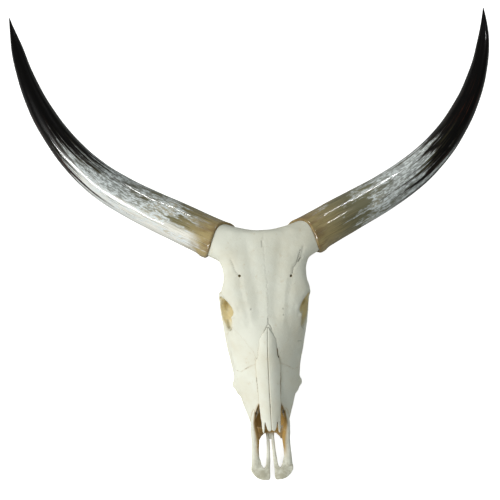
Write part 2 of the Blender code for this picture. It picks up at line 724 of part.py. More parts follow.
def main():
    clear_scene()
    parts = new_collection("longhorn_steer_skull")
    cutters = new_collection("cutters")
    cutters.hide_render = True
    skull = build_skull(cutters)
    boolean(skull, "DIFFERENCE", hide_cutter(nose_notch(cutters)))
    boolean(skull, "DIFFERENCE", hide_cutter(nasal_seat(cutters)))
    add_horns(skull, parts, cutters)
    for side, which in ((1, "left"), (-1, "right")):
        nasal_bone("nasal_" + which, side, parts)
        boolean(skull, "UNION", hide_cutter(tooth_row(side, cutters)))
        boolean(skull, "DIFFERENCE", hide_cutter(fissure(side, cutters)))
        tip = jaw_tip("premaxilla_" + which, side, parts, cutters)
        clearance = copy_of(tip, tip.name + "_clearance", cutters)
        modify(clearance, "DISPLACE", strength=FIT_GAP * MM, mid_level=0)
        boolean(skull, "DIFFERENCE", hide_cutter(bake_modifiers(clearance)))
    part_bones(skull, parts, cutters)
    bend_sideways(parts)
    bone, horn = material("bone", BONE, 0.7), material("horn", HORN, 0.25)
    for obj in parts.objects:
        obj.data.materials.clear()
        obj.data.materials.append(horn if obj.name in HORNS else bone)
    sit_on_origin(parts)


def sit_on_origin(parts):
    """Moves the meshes so that the origin is under the middle of the whole, on the floor."""
    bpy.context.view_layer.update()
    corners = [corner for obj in parts.objects for corner in (v.co for v in obj.data.vertices)]
    low = [min(c[i] for c in corners) for i in range(3)]
    high = [max(c[i] for c in corners) for i in range(3)]
    shift = Matrix.Translation((-(low[0] + high[0]) / 2, -(low[1] + high[1]) / 2, -low[2]))
    for obj in parts.objects:
        obj.data.transform(shift)


main()
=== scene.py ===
# %% [markdown]
# # The skull of a longhorn steer
# Bleached bone, polished horns and no lower jaw. The skull lies on its cheek teeth, and the camera
# looks down on its forehead. A skull has hardly a straight edge, so it is made here as a sculptor
# would make it: lumps of clay are laid over each other, fused into one skin, hollowed, carved and
# at last parted into its bones along the sutures.
#
# All sizes are in millimetres on the skull's own axes: X across, Y from the front of the jaw to
# the poll, and Z up from the floor under the teeth.

import json
import math

import bmesh
import bpy
import numpy as np
from mathutils import Matrix, Vector, noise
from mathutils.bvhtree import BVHTree

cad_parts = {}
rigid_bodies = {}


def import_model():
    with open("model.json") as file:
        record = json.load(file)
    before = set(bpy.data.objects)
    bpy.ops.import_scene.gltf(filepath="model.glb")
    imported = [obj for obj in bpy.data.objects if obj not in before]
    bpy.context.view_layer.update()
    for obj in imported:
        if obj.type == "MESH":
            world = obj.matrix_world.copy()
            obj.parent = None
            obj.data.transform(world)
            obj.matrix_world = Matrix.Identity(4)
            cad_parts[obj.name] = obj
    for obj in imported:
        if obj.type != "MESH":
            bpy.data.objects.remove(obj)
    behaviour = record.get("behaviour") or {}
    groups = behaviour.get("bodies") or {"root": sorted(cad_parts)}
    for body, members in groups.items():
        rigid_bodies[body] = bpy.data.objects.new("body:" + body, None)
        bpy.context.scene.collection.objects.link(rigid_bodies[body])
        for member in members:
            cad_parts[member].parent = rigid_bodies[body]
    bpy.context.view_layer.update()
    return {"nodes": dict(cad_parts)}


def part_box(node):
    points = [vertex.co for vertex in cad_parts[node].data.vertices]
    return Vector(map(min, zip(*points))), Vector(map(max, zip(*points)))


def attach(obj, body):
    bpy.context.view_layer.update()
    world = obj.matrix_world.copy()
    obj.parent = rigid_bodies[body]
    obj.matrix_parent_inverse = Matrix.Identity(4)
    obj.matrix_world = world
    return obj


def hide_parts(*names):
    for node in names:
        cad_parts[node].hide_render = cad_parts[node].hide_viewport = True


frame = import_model()
MM = 0.001
SIDES = {"left": 1, "right": -1}
print("the frame's nodes:", sorted(frame["nodes"]))

# %% [markdown]
# ## Curves through a few rows
# Every lump of clay follows a handful of measured rows, such as centre, width and height at a few
# places along it. A Catmull-Rom curve passes through all of them and is smooth in between.

# %% A curve through rows
def spline(rows, t):
    """The smooth curve through the rows, at t from 0 to 1."""
    rows = np.asarray(rows, float)
    place = min(max(t, 0.0), 1.0) * (len(rows) - 1)
    i = min(int(place), len(rows) - 2)
    f = place - i
    b, c = rows[i], rows[i + 1]
    a = rows[i - 1] if i > 0 else 2 * b - c
    d = rows[i + 2] if i + 2 < len(rows) else 2 * c - b
    return b + 0.5 * f * (c - a + f * (2 * a - 5 * b + 4 * c - d + f * (3 * (b - c) + d - a)))


def power(value, exponent):
    """A power that keeps the sign."""
    return math.copysign(abs(value) ** exponent, value)


def rounded_end(t, share):
    """1 along the middle, falling to 0 in a quarter circle over the share at either end."""
    near = min(t, 1 - t) / share
    return 1.0 if near >= 1 else math.sqrt(max(0.0, 1 - (1 - near) ** 2))


print("halfway between 2 and 4:", spline([[0], [2], [4], [6]], 0.5))

# %% [markdown]
# ## Lumps of clay
# A lump starts as a UV sphere, because a sphere is closed and has rings to steer. Each ring is
# moved to its own place, size and squareness. A body runs along Y and has its own width at bottom,
# middle and top. A limb bends along any path. A plain lump is an ellipsoid.

# %% Three kinds of lump
def wrap_sphere(bm, ring, around, along):
    """A closed sphere whose rings are moved to where ring(t) puts them, t running pole to pole."""
    made = bmesh.ops.create_uvsphere(bm, u_segments=around, v_segments=along, radius=1)
    rings = {}
    for vert in made["verts"]:
        t = round(math.acos(max(-1.0, min(1.0, -vert.co.z))) / math.pi, 4)
        if t not in rings:
            rings[t] = ring(t)
        vert.co = Vector(rings[t](math.atan2(vert.co.y, vert.co.x))) * MM


def add_body(bm, sections, square=2.3, around=56, along=72, share=0.08):
    """A body along Y. A section is (y, bottom z, top z, half widths at bottom, middle and top)."""
    sections = np.array(sections, float)

    def ring(t):
        y, low, high, at_low, at_middle, at_high = spline(sections, t)
        end = rounded_end(t, share)

        def point(angle):
            across, upward = power(math.cos(angle), 2 / square), power(math.sin(angle), 2 / square)
            f = (upward + 1) / 2
            half = at_low * (1 - f) * (1 - 2 * f) + at_middle * 4 * f * (1 - f) + at_high * f * (2 * f - 1)
            return across * half * end, y, (low + high) / 2 + upward * (high - low) / 2 * end
        return point
    wrap_sphere(bm, ring, around, along)


def add_limb(bm, path, sizes, along_axis=(1, 0, 0), square=2.0, around=28, along=48, share=0.15):
    """A limb through the path's points. A size is (half extent towards along_axis, half across it)."""
    path, sizes = np.array(path, float), np.array(sizes, float)

    def ring(t):
        centre = Vector(spline(path, t))
        ahead = (Vector(spline(path, min(1, t + 0.02))) - Vector(spline(path, max(0, t - 0.02)))).normalized()
        side = Vector(along_axis)
        side = (side - side.dot(ahead) * ahead).normalized()
        other = ahead.cross(side)
        half, across = spline(sizes, t) * rounded_end(t, share)

        def point(angle):
            return (centre + side * power(math.cos(angle), 2 / square) * half
                    + other * power(math.sin(angle), 2 / square) * across)
        return point
    wrap_sphere(bm, ring, around, along)


def add_lump(bm, centre, radii, turn=(0, 0, 0)):
    """An ellipsoid, turned by degrees about X, Y and Z."""
    made = bmesh.ops.create_uvsphere(bm, u_segments=40, v_segments=28, radius=1)
    turned = Matrix.Identity(4)
    for axis, degrees in zip("XYZ", turn):
        turned = Matrix.Rotation(math.radians(degrees), 4, axis) @ turned
    place = Matrix.Translation(Vector(centre) * MM) @ turned @ Matrix.Diagonal((*(r * MM for r in radii), 1))
    bmesh.ops.transform(bm, matrix=place, verts=made["verts"])


print("lumps are laid by", [maker.__name__ for maker in (add_body, add_limb, add_lump)])

# %% [markdown]
# ## Objects, modifiers and booleans
# Fusing, smoothing and cutting are done by modifiers and then made final at once, so that the next
# step starts from plain mesh. Voxel Remesh turns overlapping lumps into one closed skin, which
# also suits the fast Manifold solver of the Boolean modifier.

# %% Making objects and finishing modifiers
workshop = bpy.data.collections.new("workshop")
bpy.context.scene.collection.children.link(workshop)
finished = bpy.data.collections.new("longhorn_steer_skull")
bpy.context.scene.collection.children.link(finished)


def to_object(name, bm):
    """An object in the workshop, with the shape of the bmesh."""
    mesh = bpy.data.meshes.new(name)
    bm.to_mesh(mesh)
    bm.free()
    obj = bpy.data.objects.new(name, mesh)
    workshop.objects.link(obj)
    return obj


def modify(obj, kind, **settings):
    """Adds a modifier with its settings."""
    made = obj.modifiers.new(kind.title(), kind)
    for name, value in settings.items():
        setattr(made, name, value)


def bake_modifiers(obj):
    """The object's mesh becomes what its modifiers make."""
    graph = bpy.context.evaluated_depsgraph_get()
    obj.data = bpy.data.meshes.new_from_object(obj.evaluated_get(graph))
    obj.modifiers.clear()
    return obj


def boolean(obj, operation, other):
    """Joins, cuts or intersects the object with the other one."""
    modify(obj, "BOOLEAN", operation=operation, object=other, solver="MANIFOLD")
    return bake_modifiers(obj)


def fuse(obj, voxel, strokes):
    """Whatever overlaps in the object becomes one closed skin, stroked smooth."""
    modify(obj, "REMESH", mode="VOXEL", voxel_size=voxel * MM)
    modify(obj, "SMOOTH", factor=0.5, iterations=strokes)
    return bake_modifiers(obj)


def fused(name, makers, voxel, strokes, mirror=True):
    """The lumps laid by the makers, fused into one skin."""
    bm = bmesh.new()
    for maker in makers:
        maker(bm)
    obj = to_object(name, bm)
    if mirror:
        modify(obj, "MIRROR", use_clip=False, use_mirror_merge=False)
    return fuse(obj, voxel, strokes)


def join_skins(skin, other, voxel, strokes):
    """Two skins fused into one."""
    bm = bmesh.new()
    bm.from_mesh(skin.data)
    bm.from_mesh(other.data)
    bm.to_mesh(skin.data)
    bm.free()
    return fuse(skin, voxel, strokes)


print("collections:", workshop.name, "and", finished.name)

# %% [markdown]
# ## The massive clay
# First come the heavy masses: the snout with its palate, the frontal bones, the block of the
# braincase, and the stout necks that carry the horns. They are smoothed hard, because the real
# forehead is one broad, even plane with soft shoulders. Only the left half is listed, and
# the Mirror modifier gives the other.

# %% Snout, forehead and horn necks
HORN_BASE = (87.5, 487.0, 158.0)


def snout_clay(bm):
    """The two upper jaw bones with the palate: wide at the cheeks, narrow under the nasal bones."""
    add_body(bm, [
        (100, 17, 68, 26, 38, 32),
        (124, 17, 90, 32, 43, 34),
        (152, 16, 110, 38, 52, 27),
        (176, 16, 121, 45, 58, 26),
        (196, 16, 128, 49, 66, 27),
        (230, 16, 138, 52, 70, 32),
        (268, 18, 151, 54, 75, 42),
        (302, 30, 162, 46, 78, 56),
        (336, 62, 171, 34, 62, 62),
        (360, 92, 174, 20, 50, 56),
    ], square=2.6)
    add_body(bm, [(70, 18, 24, 22, 23, 22), (90, 18, 25, 30, 32, 30), (140, 17, 27, 34, 38, 34)], square=5)
    add_limb(bm, [(33, 146, 24), (43, 180, 23), (47, 220, 23), (49, 260, 24), (47, 300, 32)],
             [(10, 9), (13, 10), (14, 10), (14, 11), (10, 12)])


def forehead_clay(bm):
    """The broad frontal bones, from the eyes to the poll, and the braincase under them."""
    add_body(bm, [
        (296, 118, 154, 20, 40, 26),
        (316, 124, 165, 44, 60, 44),
        (342, 136, 175, 58, 68, 56),
        (362, 141, 180, 70, 77, 66),
        (381, 134, 184, 85, 91, 74),
        (404, 143, 189, 78, 85, 74),
        (428, 140, 194, 76, 85, 76),
        (454, 132, 199, 82, 94, 82),
        (480, 128, 201, 78, 92, 84),
        (505, 140, 199, 70, 85, 78),
    ], square=2.9, share=0.05)
    add_body(bm, [
        (330, 72, 165, 14, 30, 40),
        (370, 62, 172, 18, 40, 50),
        (410, 56, 180, 28, 48, 56),
        (440, 54, 186, 36, 55, 62),
        (470, 54, 190, 44, 61, 68),
        (494, 62, 190, 34, 56, 66),
    ], square=2.6)


def horn_neck_clay(bm):
    """The stout neck of bone under the rim of the horn."""
    root = Vector(HORN_BASE)
    side = Vector((0.9, 0.43, -0.31)).normalized()
    add_limb(bm, [(40, 462, 160.5), (66, 476, 160.5), root, root + side * 16],
             [(40, 37), (39, 37), (37.5, 36), (37, 35)], along_axis=(0, 1, 0), square=2.5, share=0.1)
    add_limb(bm, [(-20, 474, 166), (20, 476, 167), (50, 480, 166), (74, 484, 163), (92, 488, 158)],
             [(29, 33), (29, 33), (31, 33), (34, 33), (35, 33)], along_axis=(0, 1, 0), square=2.8, share=0.1)


def back_clay(bm):
    """The back wall of the skull, the ear region, the condyles and the skull base."""
    add_lump(bm, (56, 452, 96), (18, 24, 32))
    add_limb(bm, [(0, 494, 188), (0, 490, 160), (0, 484, 126), (0, 482, 96)],
             [(84, 12), (78, 10), (66, 9), (58, 10)], square=2.6, around=56)
    add_lump(bm, (0, 488, 158), (14, 12, 22))
    add_lump(bm, (60, 495, 182), (26, 13, 16))
    add_lump(bm, (21, 488, 58), (13, 18, 20), turn=(18, 0, -14))
    add_limb(bm, [(0, 366, 72), (0, 404, 58), (0, 446, 53), (0, 486, 58)],
             [(11, 11), (14, 9), (20, 9), (20, 9)])


MASS_VOXEL = 2.6
mass = fused("mass", [snout_clay, forehead_clay, horn_neck_clay, back_clay], MASS_VOXEL, 10)
print("massive clay:", len(mass.data.polygons), "faces")

# %% [markdown]
# ## The thin clay
# The rings round the eyes, the cheek arches, the spurs behind them and the thin plates beside the
# throat would melt away under such smoothing. They are laid now, and the second fusing is smoothed
# only a little.

# %% Eye rims, cheeks, spurs and plates
def cheek_clay(bm):
    """The facial crest, the cheek bone below the eye and the arch that runs back from it."""
    add_lump(bm, (54, 203, 56), (15.5, 32, 20))
    add_lump(bm, (64.5, 197, 60), (9, 10, 12))
    add_limb(bm, [(58, 196, 54), (63, 235, 60), (70, 272, 68), (78, 306, 74), (84, 338, 76)],
             [(8, 11), (9, 13), (10, 14), (8, 13), (6, 9)])
    add_limb(bm, [(82, 330, 78), (86, 364, 82), (81, 394, 84), (75, 422, 86), (64, 444, 90)],
             [(5, 9), (4.5, 9), (4.5, 8), (6, 8), (9, 10)])
    add_lump(bm, (60, 414, 78), (24, 14, 8), turn=(0, -12, 0))
    add_lump(bm, (58, 318, 70), (20, 36, 18))
    add_lump(bm, (73, 350, 72), (15, 44, 10))


def eye_rim_clay(bm):
    """The ring of bone round the eye socket."""
    # The last two points repeat the first two, so that the ring closes.
    add_limb(bm, [(66, 326, 147), (71, 350, 151), (83, 369, 146), (90, 380, 124), (89, 371, 98),
                  (87, 345, 80), (81, 314, 80), (72, 296, 98), (65, 302, 127), (66, 326, 147),
                  (71, 350, 151)],
             [(6, 7), (6, 7), (6, 8), (5, 8), (5, 8), (5, 9), (6, 9), (7, 8), (7, 7), (6, 7), (6, 7)],
             along=140, share=0.03)
    add_lump(bm, (62, 292, 98), (14, 30, 27))
    add_limb(bm, [(56, 380, 140), (66, 378, 124), (74, 376, 104), (76, 376, 86)],
             [(18, 6), (14, 6), (11, 6), (9, 6)])


def spur_clay(bm):
    """The jugular processes, the ear capsules and the roots of the cheek arches."""
    add_limb(bm, [(50, 462, 84), (51, 465, 52), (47, 463, 22), (44, 459, -3)],
             [(8, 15), (7, 13), (5, 10), (4, 8)])
    add_lump(bm, (33, 428, 48), (9, 15, 14), turn=(0, 0, -16))
    add_limb(bm, [(44, 434, 66), (60, 440, 74), (76, 444, 82)], [(8, 8), (7, 7), (6, 6)],
             along_axis=(0, 1, 0))


def throat_clay(bm):
    """The thin upright plates on either side of the openings behind the palate."""
    add_limb(bm, [(30, 286, 44), (21, 310, 50), (18, 340, 54), (20, 374, 62)],
             [(4, 26), (3, 28), (3, 26), (3, 18)])
    add_limb(bm, [(20, 368, 66), (22, 378, 48), (24, 384, 36)], [(3, 9), (2.5, 6), (2, 4)])
    add_body(bm, [(270, 88, 128, 6, 12, 14), (310, 84, 130, 14, 20, 24), (360, 66, 130, 12, 18, 24),
                  (400, 58, 130, 14, 20, 24)])


SKIN_VOXEL = 1.8
thin = fused("thin", [cheek_clay, eye_rim_clay, spur_clay, throat_clay], SKIN_VOXEL, 2)
skull = join_skins(mass, thin, SKIN_VOXEL, 9)
skull.name = "skull"
print("with the thin clay:", len(skull.data.polygons), "faces")

# %% [markdown]
# ## Hollows
# The nasal cavity, the eye sockets, the passage behind the palate and the spinal opening are
# solids too. They are fused in the same way and cut from the skull with a Boolean difference.

# %% What is hollowed out
def cavity_cutters(bm):
    """The nasal cavity, open in front above the palate, and the passage behind the palate."""
    add_body(bm, [
        (60, 27, 60, 14, 30, 30),
        (96, 28, 66, 16, 31, 28),
        (124, 29, 84, 19, 32, 26),
        (140, 30, 97, 22, 34, 20),
        (156, 30, 104, 24, 42, 17),
        (190, 30, 116, 30, 50, 18),
        (230, 31, 128, 32, 50, 20),
        (270, 34, 138, 30, 46, 20),
        (306, 46, 146, 18, 30, 20),
        (336, 60, 132, 8, 14, 12),
    ], square=2.5)
    add_body(bm, [(286, 48, 84, 10, 14, 12), (316, 22, 84, 13, 15, 12), (350, 10, 80, 14, 15, 12),
                  (384, 10, 70, 13, 14, 11)])


# The notch in the eye socket's upper rim, as (x, y) seen from above.
EYE_NOTCH = [(93, 381), (84, 371), (76, 361), (69, 350), (66.5, 342), (68, 335), (74, 331), (76, 320),
             (78, 313), (88, 313), (90, 330), (92, 355)]
EYE_NOTCH_FLOOR, EYE_NOTCH_HEIGHT = 112, 60


def corners_of(extruded):
    """The points that an extrusion made."""
    return [v for v in extruded["geom"] if isinstance(v, bmesh.types.BMVert)]


def socket_cutters(bm):
    """The eye sockets with their notches, the spinal opening and the hollow of the palate."""
    rim = bm.faces.new([bm.verts.new(Vector((x, y, EYE_NOTCH_FLOOR)) * MM) for x, y in EYE_NOTCH])
    raised = bmesh.ops.extrude_face_region(bm, geom=[rim])
    bmesh.ops.translate(bm, vec=(0, 0, EYE_NOTCH_HEIGHT * MM), verts=corners_of(raised))
    add_limb(bm, [(122, 324, 126), (92, 335, 118), (68, 342, 113), (42, 352, 108), (26, 362, 104)],
             [(31, 31), (31, 31), (34, 33), (26, 26), (10, 10)], along_axis=(0, 1, 0), around=56, share=0.1)
    add_limb(bm, [(0, 530, 70), (0, 484, 74), (0, 440, 92)], [(17, 17), (16, 15), (9, 9)], around=40)
    add_limb(bm, [(0, 128, 8), (0, 200, 9), (0, 300, 12)], [(24, 8), (30, 10), (26, 11)], around=40)


boolean(skull, "DIFFERENCE", fused("hollows", [cavity_cutters, socket_cutters], SKIN_VOXEL, 3))
fuse(skull, SKIN_VOXEL, 3)
print("hollowed:", len(skull.data.polygons), "faces")

# %% [markdown]
# ## Plates
# The nasal bones, the bed they lie in and the notch beside them are plates. Each starts as a grid
# that is extruded once. The points are then moved by a rule that gives their place from how far
# across and along the plate they are, so that the outline stays crisp, which fused clay can't give.

# %% A plate from an extruded grid
def grid_slab(name, columns, rows, place):
    """A closed slab. place(across, along, is_upper) gives each point, both shares from 0 to 1."""
    bm = bmesh.new()
    bmesh.ops.create_grid(bm, x_segments=columns, y_segments=rows, size=0.5)
    lower = list(bm.verts)
    upper = corners_of(bmesh.ops.extrude_face_region(bm, geom=list(bm.faces), use_keep_orig=True))
    for verts, is_upper in ((lower, False), (upper, True)):
        for vert in verts:
            vert.co = Vector(place(vert.co.x + 0.5, vert.co.y + 0.5, is_upper)) * MM
    bmesh.ops.recalc_face_normals(bm, faces=bm.faces)
    return to_object(name, bm)


def through(rows, y, column=1):
    """The value at y of a table whose rows start with y, in straight lines."""
    return float(np.interp(y, [row[0] for row in rows], [row[column] for row in rows]))


def y_along(rows, share):
    """The y at a share of the way from the first row of a table to the last."""
    return rows[0][0] + (rows[-1][0] - rows[0][0]) * share


print("halfway down a table:", through([(0, 0), (10, 5)], 5), "at y", y_along([(0, 0), (10, 5)], 0.5))

# %% [markdown]
# ## The mouth of the nose
# In front, the nose is open on both sides of the nasal bones. The first plate cuts that opening: a
# slab as wide as the nose, with a floor that rises backwards.

# %% The notch beside the nasal bones
NOTCH_HALF_WIDTHS = [(60, 39), (92, 37), (117, 34), (135, 31), (149, 26), (158, 20)]
NOTCH_FLOOR = [(60, 34), (92, 42), (117, 62), (135, 82), (149, 92), (158, 98)]
NOTCH_TOP = 150


def notch_place(across, along, is_upper):
    y = y_along(NOTCH_HALF_WIDTHS, along)
    height = NOTCH_TOP if is_upper else through(NOTCH_FLOOR, y)
    return (2 * across - 1) * through(NOTCH_HALF_WIDTHS, y), y, height


boolean(skull, "DIFFERENCE", grid_slab("notch", 8, 40, notch_place))
print("nose opened:", len(skull.data.polygons), "faces")

# %% [markdown]
# ## Carving
# A dry skull is full of small marks: the suture down the middle of the forehead, the furrows that
# run to and from the two blood vessel holes above the eyes, and hairline cracks. Each mark is a path
# seen from above, and a point is marked by how near the path it lies. A little noise makes the path
# wander as a real one does.

# %% The marks on the forehead
SWAY = [(40, 2.6), (120, 0.6), (180, -0.8), (250, -1.5), (320, 0.5), (380, 0.5), (460, 0.0)]
# A mark is (width, depth, wander, beads, darkness, path of x and y). Beads break it into a string of pits.
MARKS = [
    (0.8, 0.4, 1.4, 0.0, 0.08, [(-1.2, 497), (-1.8, 480), (-0.4, 437), (1.8, 409)]),
    (0.7, 0.6, 1.2, 0.0, 0.20, [(1.8, 409), (2.6, 381), (2.6, 354), (2.2, 324)]),
    (3.2, 0.9, 0.8, 0.2, 0.08, [(-53, 412), (-60, 421), (-64, 434), (-68, 444)]),
    (0.8, 0.9, 0.8, 0.8, 0.45, [(-55, 414), (-60, 421), (-64, 434), (-68, 444)]),
    (7.0, 1.1, 0.8, 0.0, 0.03, [(-52, 405), (-52, 388), (-47, 362), (-40, 336), (-39, 312)]),
    (2.4, 0.5, 0.8, 0.0, 0.08, [(-53, 404), (-52, 388), (-49, 372)]),
    (3.2, 0.9, 0.5, 0.0, 0.05, [(53, 409), (55.5, 414), (57, 424), (66.6, 433), (74.7, 444), (79, 463)]),
    (0.8, 1.3, 0.5, 0.7, 0.75,
     [(54, 411), (55.5, 416), (57, 424), (63, 430), (66, 439), (70, 448), (73, 458)]),
    (1.0, 1.8, 0.3, 0.0, 0.85, [(67.6, 435.4), (72.5, 442.5)]),
    (7.0, 0.9, 0.8, 0.0, 0.02, [(51, 399), (46.6, 377), (44, 358), (41.6, 312)]),
    (2.0, 0.4, 0.8, 0.0, 0.05, [(50.5, 398), (48, 384), (46, 372)]),
    (13.0, 2.2, 0.0, 0.0, 0.0, [(-34, 470), (-28, 430), (-20, 385), (-16, 330)]),
    (13.0, 1.9, 0.0, 0.0, 0.0, [(34, 470), (28, 430), (21, 385), (17, 330)]),
    (1.3, 0.9, 0.3, 0.0, 0.30, [(-4, 479), (-3.6, 467)]),
    (1.3, 1.2, 0.0, 0.0, 0.45, [(-31.7, 343.5), (-31.4, 345)]),
    (1.4, 1.3, 0.0, 0.0, 0.45, [(33.4, 342), (33.6, 343)]),
    (1.2, 1.1, 0.0, 0.0, 0.40, [(34, 330), (34, 331)]),
    (0.7, 1.0, 0.8, 0.0, 0.60, [(1.8, 326), (1.8, 314), (-1.7, 308), (-6.3, 300), (-8, 296)]),
    (0.7, 1.0, 0.8, 0.0, 0.55, [(1.8, 314), (6.7, 310), (8.5, 302.5)]),
    (0.6, 0.8, 0.5, 0.0, 0.50, [(63.5, 279), (77, 279)]),
]


def sway(y):
    """How far the skull bends sideways at y: no real skull is quite straight."""
    return np.interp(y, *zip(*SWAY))


def distance_to(path, x, y):
    """How far each point is from a path, and how far along the path its nearest place is."""
    best, along, walked = np.full(len(x), 1e9), np.zeros(len(x)), 0.0
    for (ax, ay), (bx, by) in zip(path, path[1:]):
        length = math.hypot(bx - ax, by - ay)
        share = np.clip(((x - ax) * (bx - ax) + (y - ay) * (by - ay)) / length ** 2, 0, 1)
        gap = np.hypot(x - ax - share * (bx - ax), y - ay - share * (by - ay))
        closer = gap < best
        best[closer], along[closer] = gap[closer], walked + share[closer] * length
        walked += length
    return best, along


def mesh_arrays(obj):
    """A mesh's points in millimetres, and their normals."""
    count = len(obj.data.vertices)
    places, normals = np.empty(count * 3), np.empty(count * 3)
    obj.data.vertices.foreach_get("co", places)
    obj.data.vertices.foreach_get("normal", normals)
    return places.reshape(-1, 3) / MM, normals.reshape(-1, 3)


def put_points(obj, places):
    """Moves a mesh's points to places in millimetres."""
    obj.data.vertices.foreach_set("co", (places * MM).ravel())
    obj.data.update()


def mark_depths(places, normals):
    """How deep the marks are at each point, and how dark. Only the top of the skull is marked."""
    deep, dark = np.zeros(len(places)), np.zeros(len(places))
    lowest = np.where(places[:, 1] > 330, 150, 105)
    top = np.flatnonzero((normals[:, 2] > 0.25) & (places[:, 2] > lowest))
    x, y = places[top, 0] + sway(places[top, 1]), places[top, 1]
    wobble = [noise.noise_vector((a * 0.22, b * 0.22, 3.1))[:2] for a, b in zip(x, y)]
    wobble_x, wobble_y = np.array(wobble).reshape(-1, 2).T
    for width, depth, wander, beads, darkness, path in MARKS:
        gap, along = distance_to(path, x + wobble_x * wander, y + wobble_y * wander)
        pulse = 1 - beads * (0.5 + 0.5 * np.cos(along * 1.7)) * 0.8
        cut = np.exp(-(gap / width) ** 2) * pulse
        deep[top] = np.maximum(deep[top], cut * depth)
        dark[top] = np.maximum(dark[top], cut * darkness)
    return deep, dark


print("marks:", len(MARKS))

# %% [markdown]
# ## Stroking the clay
# Where the snout meets the forehead, the fused clay still shows a step. It is stroked away: every
# point in that region moves to the average of its neighbours, many times over. The weight that says
# how far is averaged in the same way, so that the stroked region has no edge.

# %% Softening two regions
# A region is the reach of the distance from the midline, of y and of z.
BETWEEN_EYES = ((-1, 60), (225, 352), (105, math.inf))
BEFORE_EYES = ((46, 71), (272, 329), (96, math.inf))


def within(places, region):
    """Which points lie in a region."""
    inside = np.ones(len(places), bool)
    for values, (low, high) in zip((abs(places[:, 0]), places[:, 1], places[:, 2]), region):
        inside &= (values > low) & (values < high)
    return inside


def spread(obj, values, rounds):
    """Averages each point's value with its neighbours' along the edges, again and again."""
    ends = np.empty(len(obj.data.edges) * 2, np.int32)
    obj.data.edges.foreach_get("vertices", ends)
    a, b = ends.reshape(-1, 2).T
    count = np.bincount(ends, minlength=len(values)) + 1e-9
    for _ in range(rounds):
        near = np.bincount(a, values[b], len(values)) + np.bincount(b, values[a], len(values))
        values = 0.4 * values + 0.6 * near / count
    return values


def soften(obj, weight, rounds):
    """Smooths the points, each as far as its weight says."""
    places, _ = mesh_arrays(obj)
    smooth = np.stack([spread(obj, places[:, axis], rounds) for axis in range(3)], axis=1)
    places += (smooth - places) * spread(obj, weight, 12)[:, None]
    put_points(obj, places)


places, normals = mesh_arrays(skull)
for region, least_upward, rounds in ((BETWEEN_EYES, 0.25, 160), (BEFORE_EYES, 0.2, 70)):
    chosen = within(places, region) & (normals[:, 2] > least_upward)
    soften(skull, chosen * 1.0, rounds)
    print("stroked:", int(chosen.sum()), "points")

# %% [markdown]
# ## Pressing the marks in
# The voxels are coarser than a hairline crack. So the mesh is subdivided along the marks, twice, and
# then the points are pushed in along their normals, deepest on the path. A slow unevenness goes in
# at the same time.

# %% A finer mesh and the pressing
WAVES = [(0.55, 0.021), (0.28, 0.062), (0.12, 0.19)]  # height and how close together


def refine(obj, chosen):
    """Halves every edge whose two ends are both chosen."""
    bm = bmesh.new()
    bm.from_mesh(obj.data)
    bm.verts.ensure_lookup_table()
    edges = [e for e in bm.edges if chosen[e.verts[0].index] and chosen[e.verts[1].index]]
    bmesh.ops.subdivide_edges(bm, edges=edges, cuts=1, use_grid_fill=True)
    bmesh.ops.triangulate(bm, faces=[f for f in bm.faces if len(f.verts) > 4])
    bm.to_mesh(obj.data)
    bm.free()


def undulation(places):
    """A slow unevenness of the surface, so that no plane is dead flat."""
    return np.array([sum(height * noise.noise(place * rate) for height, rate in WAVES)
                     for place in map(Vector, places)])


for step in range(2):
    places, normals = mesh_arrays(skull)
    refine(skull, mark_depths(places, normals)[1] > 0.02 + 0.05 * step)
places, normals = mesh_arrays(skull)
put_points(skull, places + normals * (undulation(places) - mark_depths(places, normals)[0])[:, None])
print("carved:", len(skull.data.polygons), "faces")

# %% [markdown]
# ## Small holes
# Nerves and blood vessels leave the skull through small round holes: one above each eye, one in
# front of each row of teeth, and one pair in the palate. A tapered cylinder cuts each.

# %% Holes for nerves
# A hole is (x, y, z of its mouth, direction it goes in, radius, depth).
NERVE_HOLES = [
    ((-53.2, 408.0, 196), (0.1, 0.35, -1), 3.2, 22),
    ((52.4, 403.2, 196), (-0.1, 0.35, -1), 3.0, 22),
    ((54, 160, 60), (-1, 0.5, 0), 4.6, 18),
    ((-54, 160, 60), (1, 0.5, 0), 4.6, 18),
    ((20, 262, 12), (0, 0.5, 1), 2.8, 24),
    ((-20, 262, 12), (0, 0.5, 1), 2.8, 24),
]
bm = bmesh.new()
for mouth, inward, radius, depth in NERVE_HOLES:
    turned = Vector(inward).to_track_quat("Z", "Y").to_matrix().to_4x4()
    place = Matrix.Translation(Vector(mouth) * MM) @ turned @ Matrix.Translation((0, 0, depth * MM / 2))
    bmesh.ops.create_cone(bm, cap_ends=True, segments=20, depth=depth * MM, matrix=place,
                          radius1=radius * 1.15 * MM, radius2=radius * 0.7 * MM)
boolean(skull, "DIFFERENCE", to_object("nerve_holes", bm))
print("holes:", len(NERVE_HOLES))

# %% [markdown]
# ## The nasal bones
# Two long arched plates roof the nose, each ending in a fork. They are separate bones on this skull,
# with a dark gap round them, so they lie in a bed cut into the snout.

# %% The nasal bones and their bed
NASAL_TIP_Y, NASAL_ROOT_Y = 93.0, 306.0
NASAL_THICKNESS, NASAL_ARCH, NASAL_SLOPE = 4.5, 8.0, 0.315
NASAL_RIDGE, NASAL_TIP_Z, NASAL_HALF_SPAN = 2.2, 98, 24
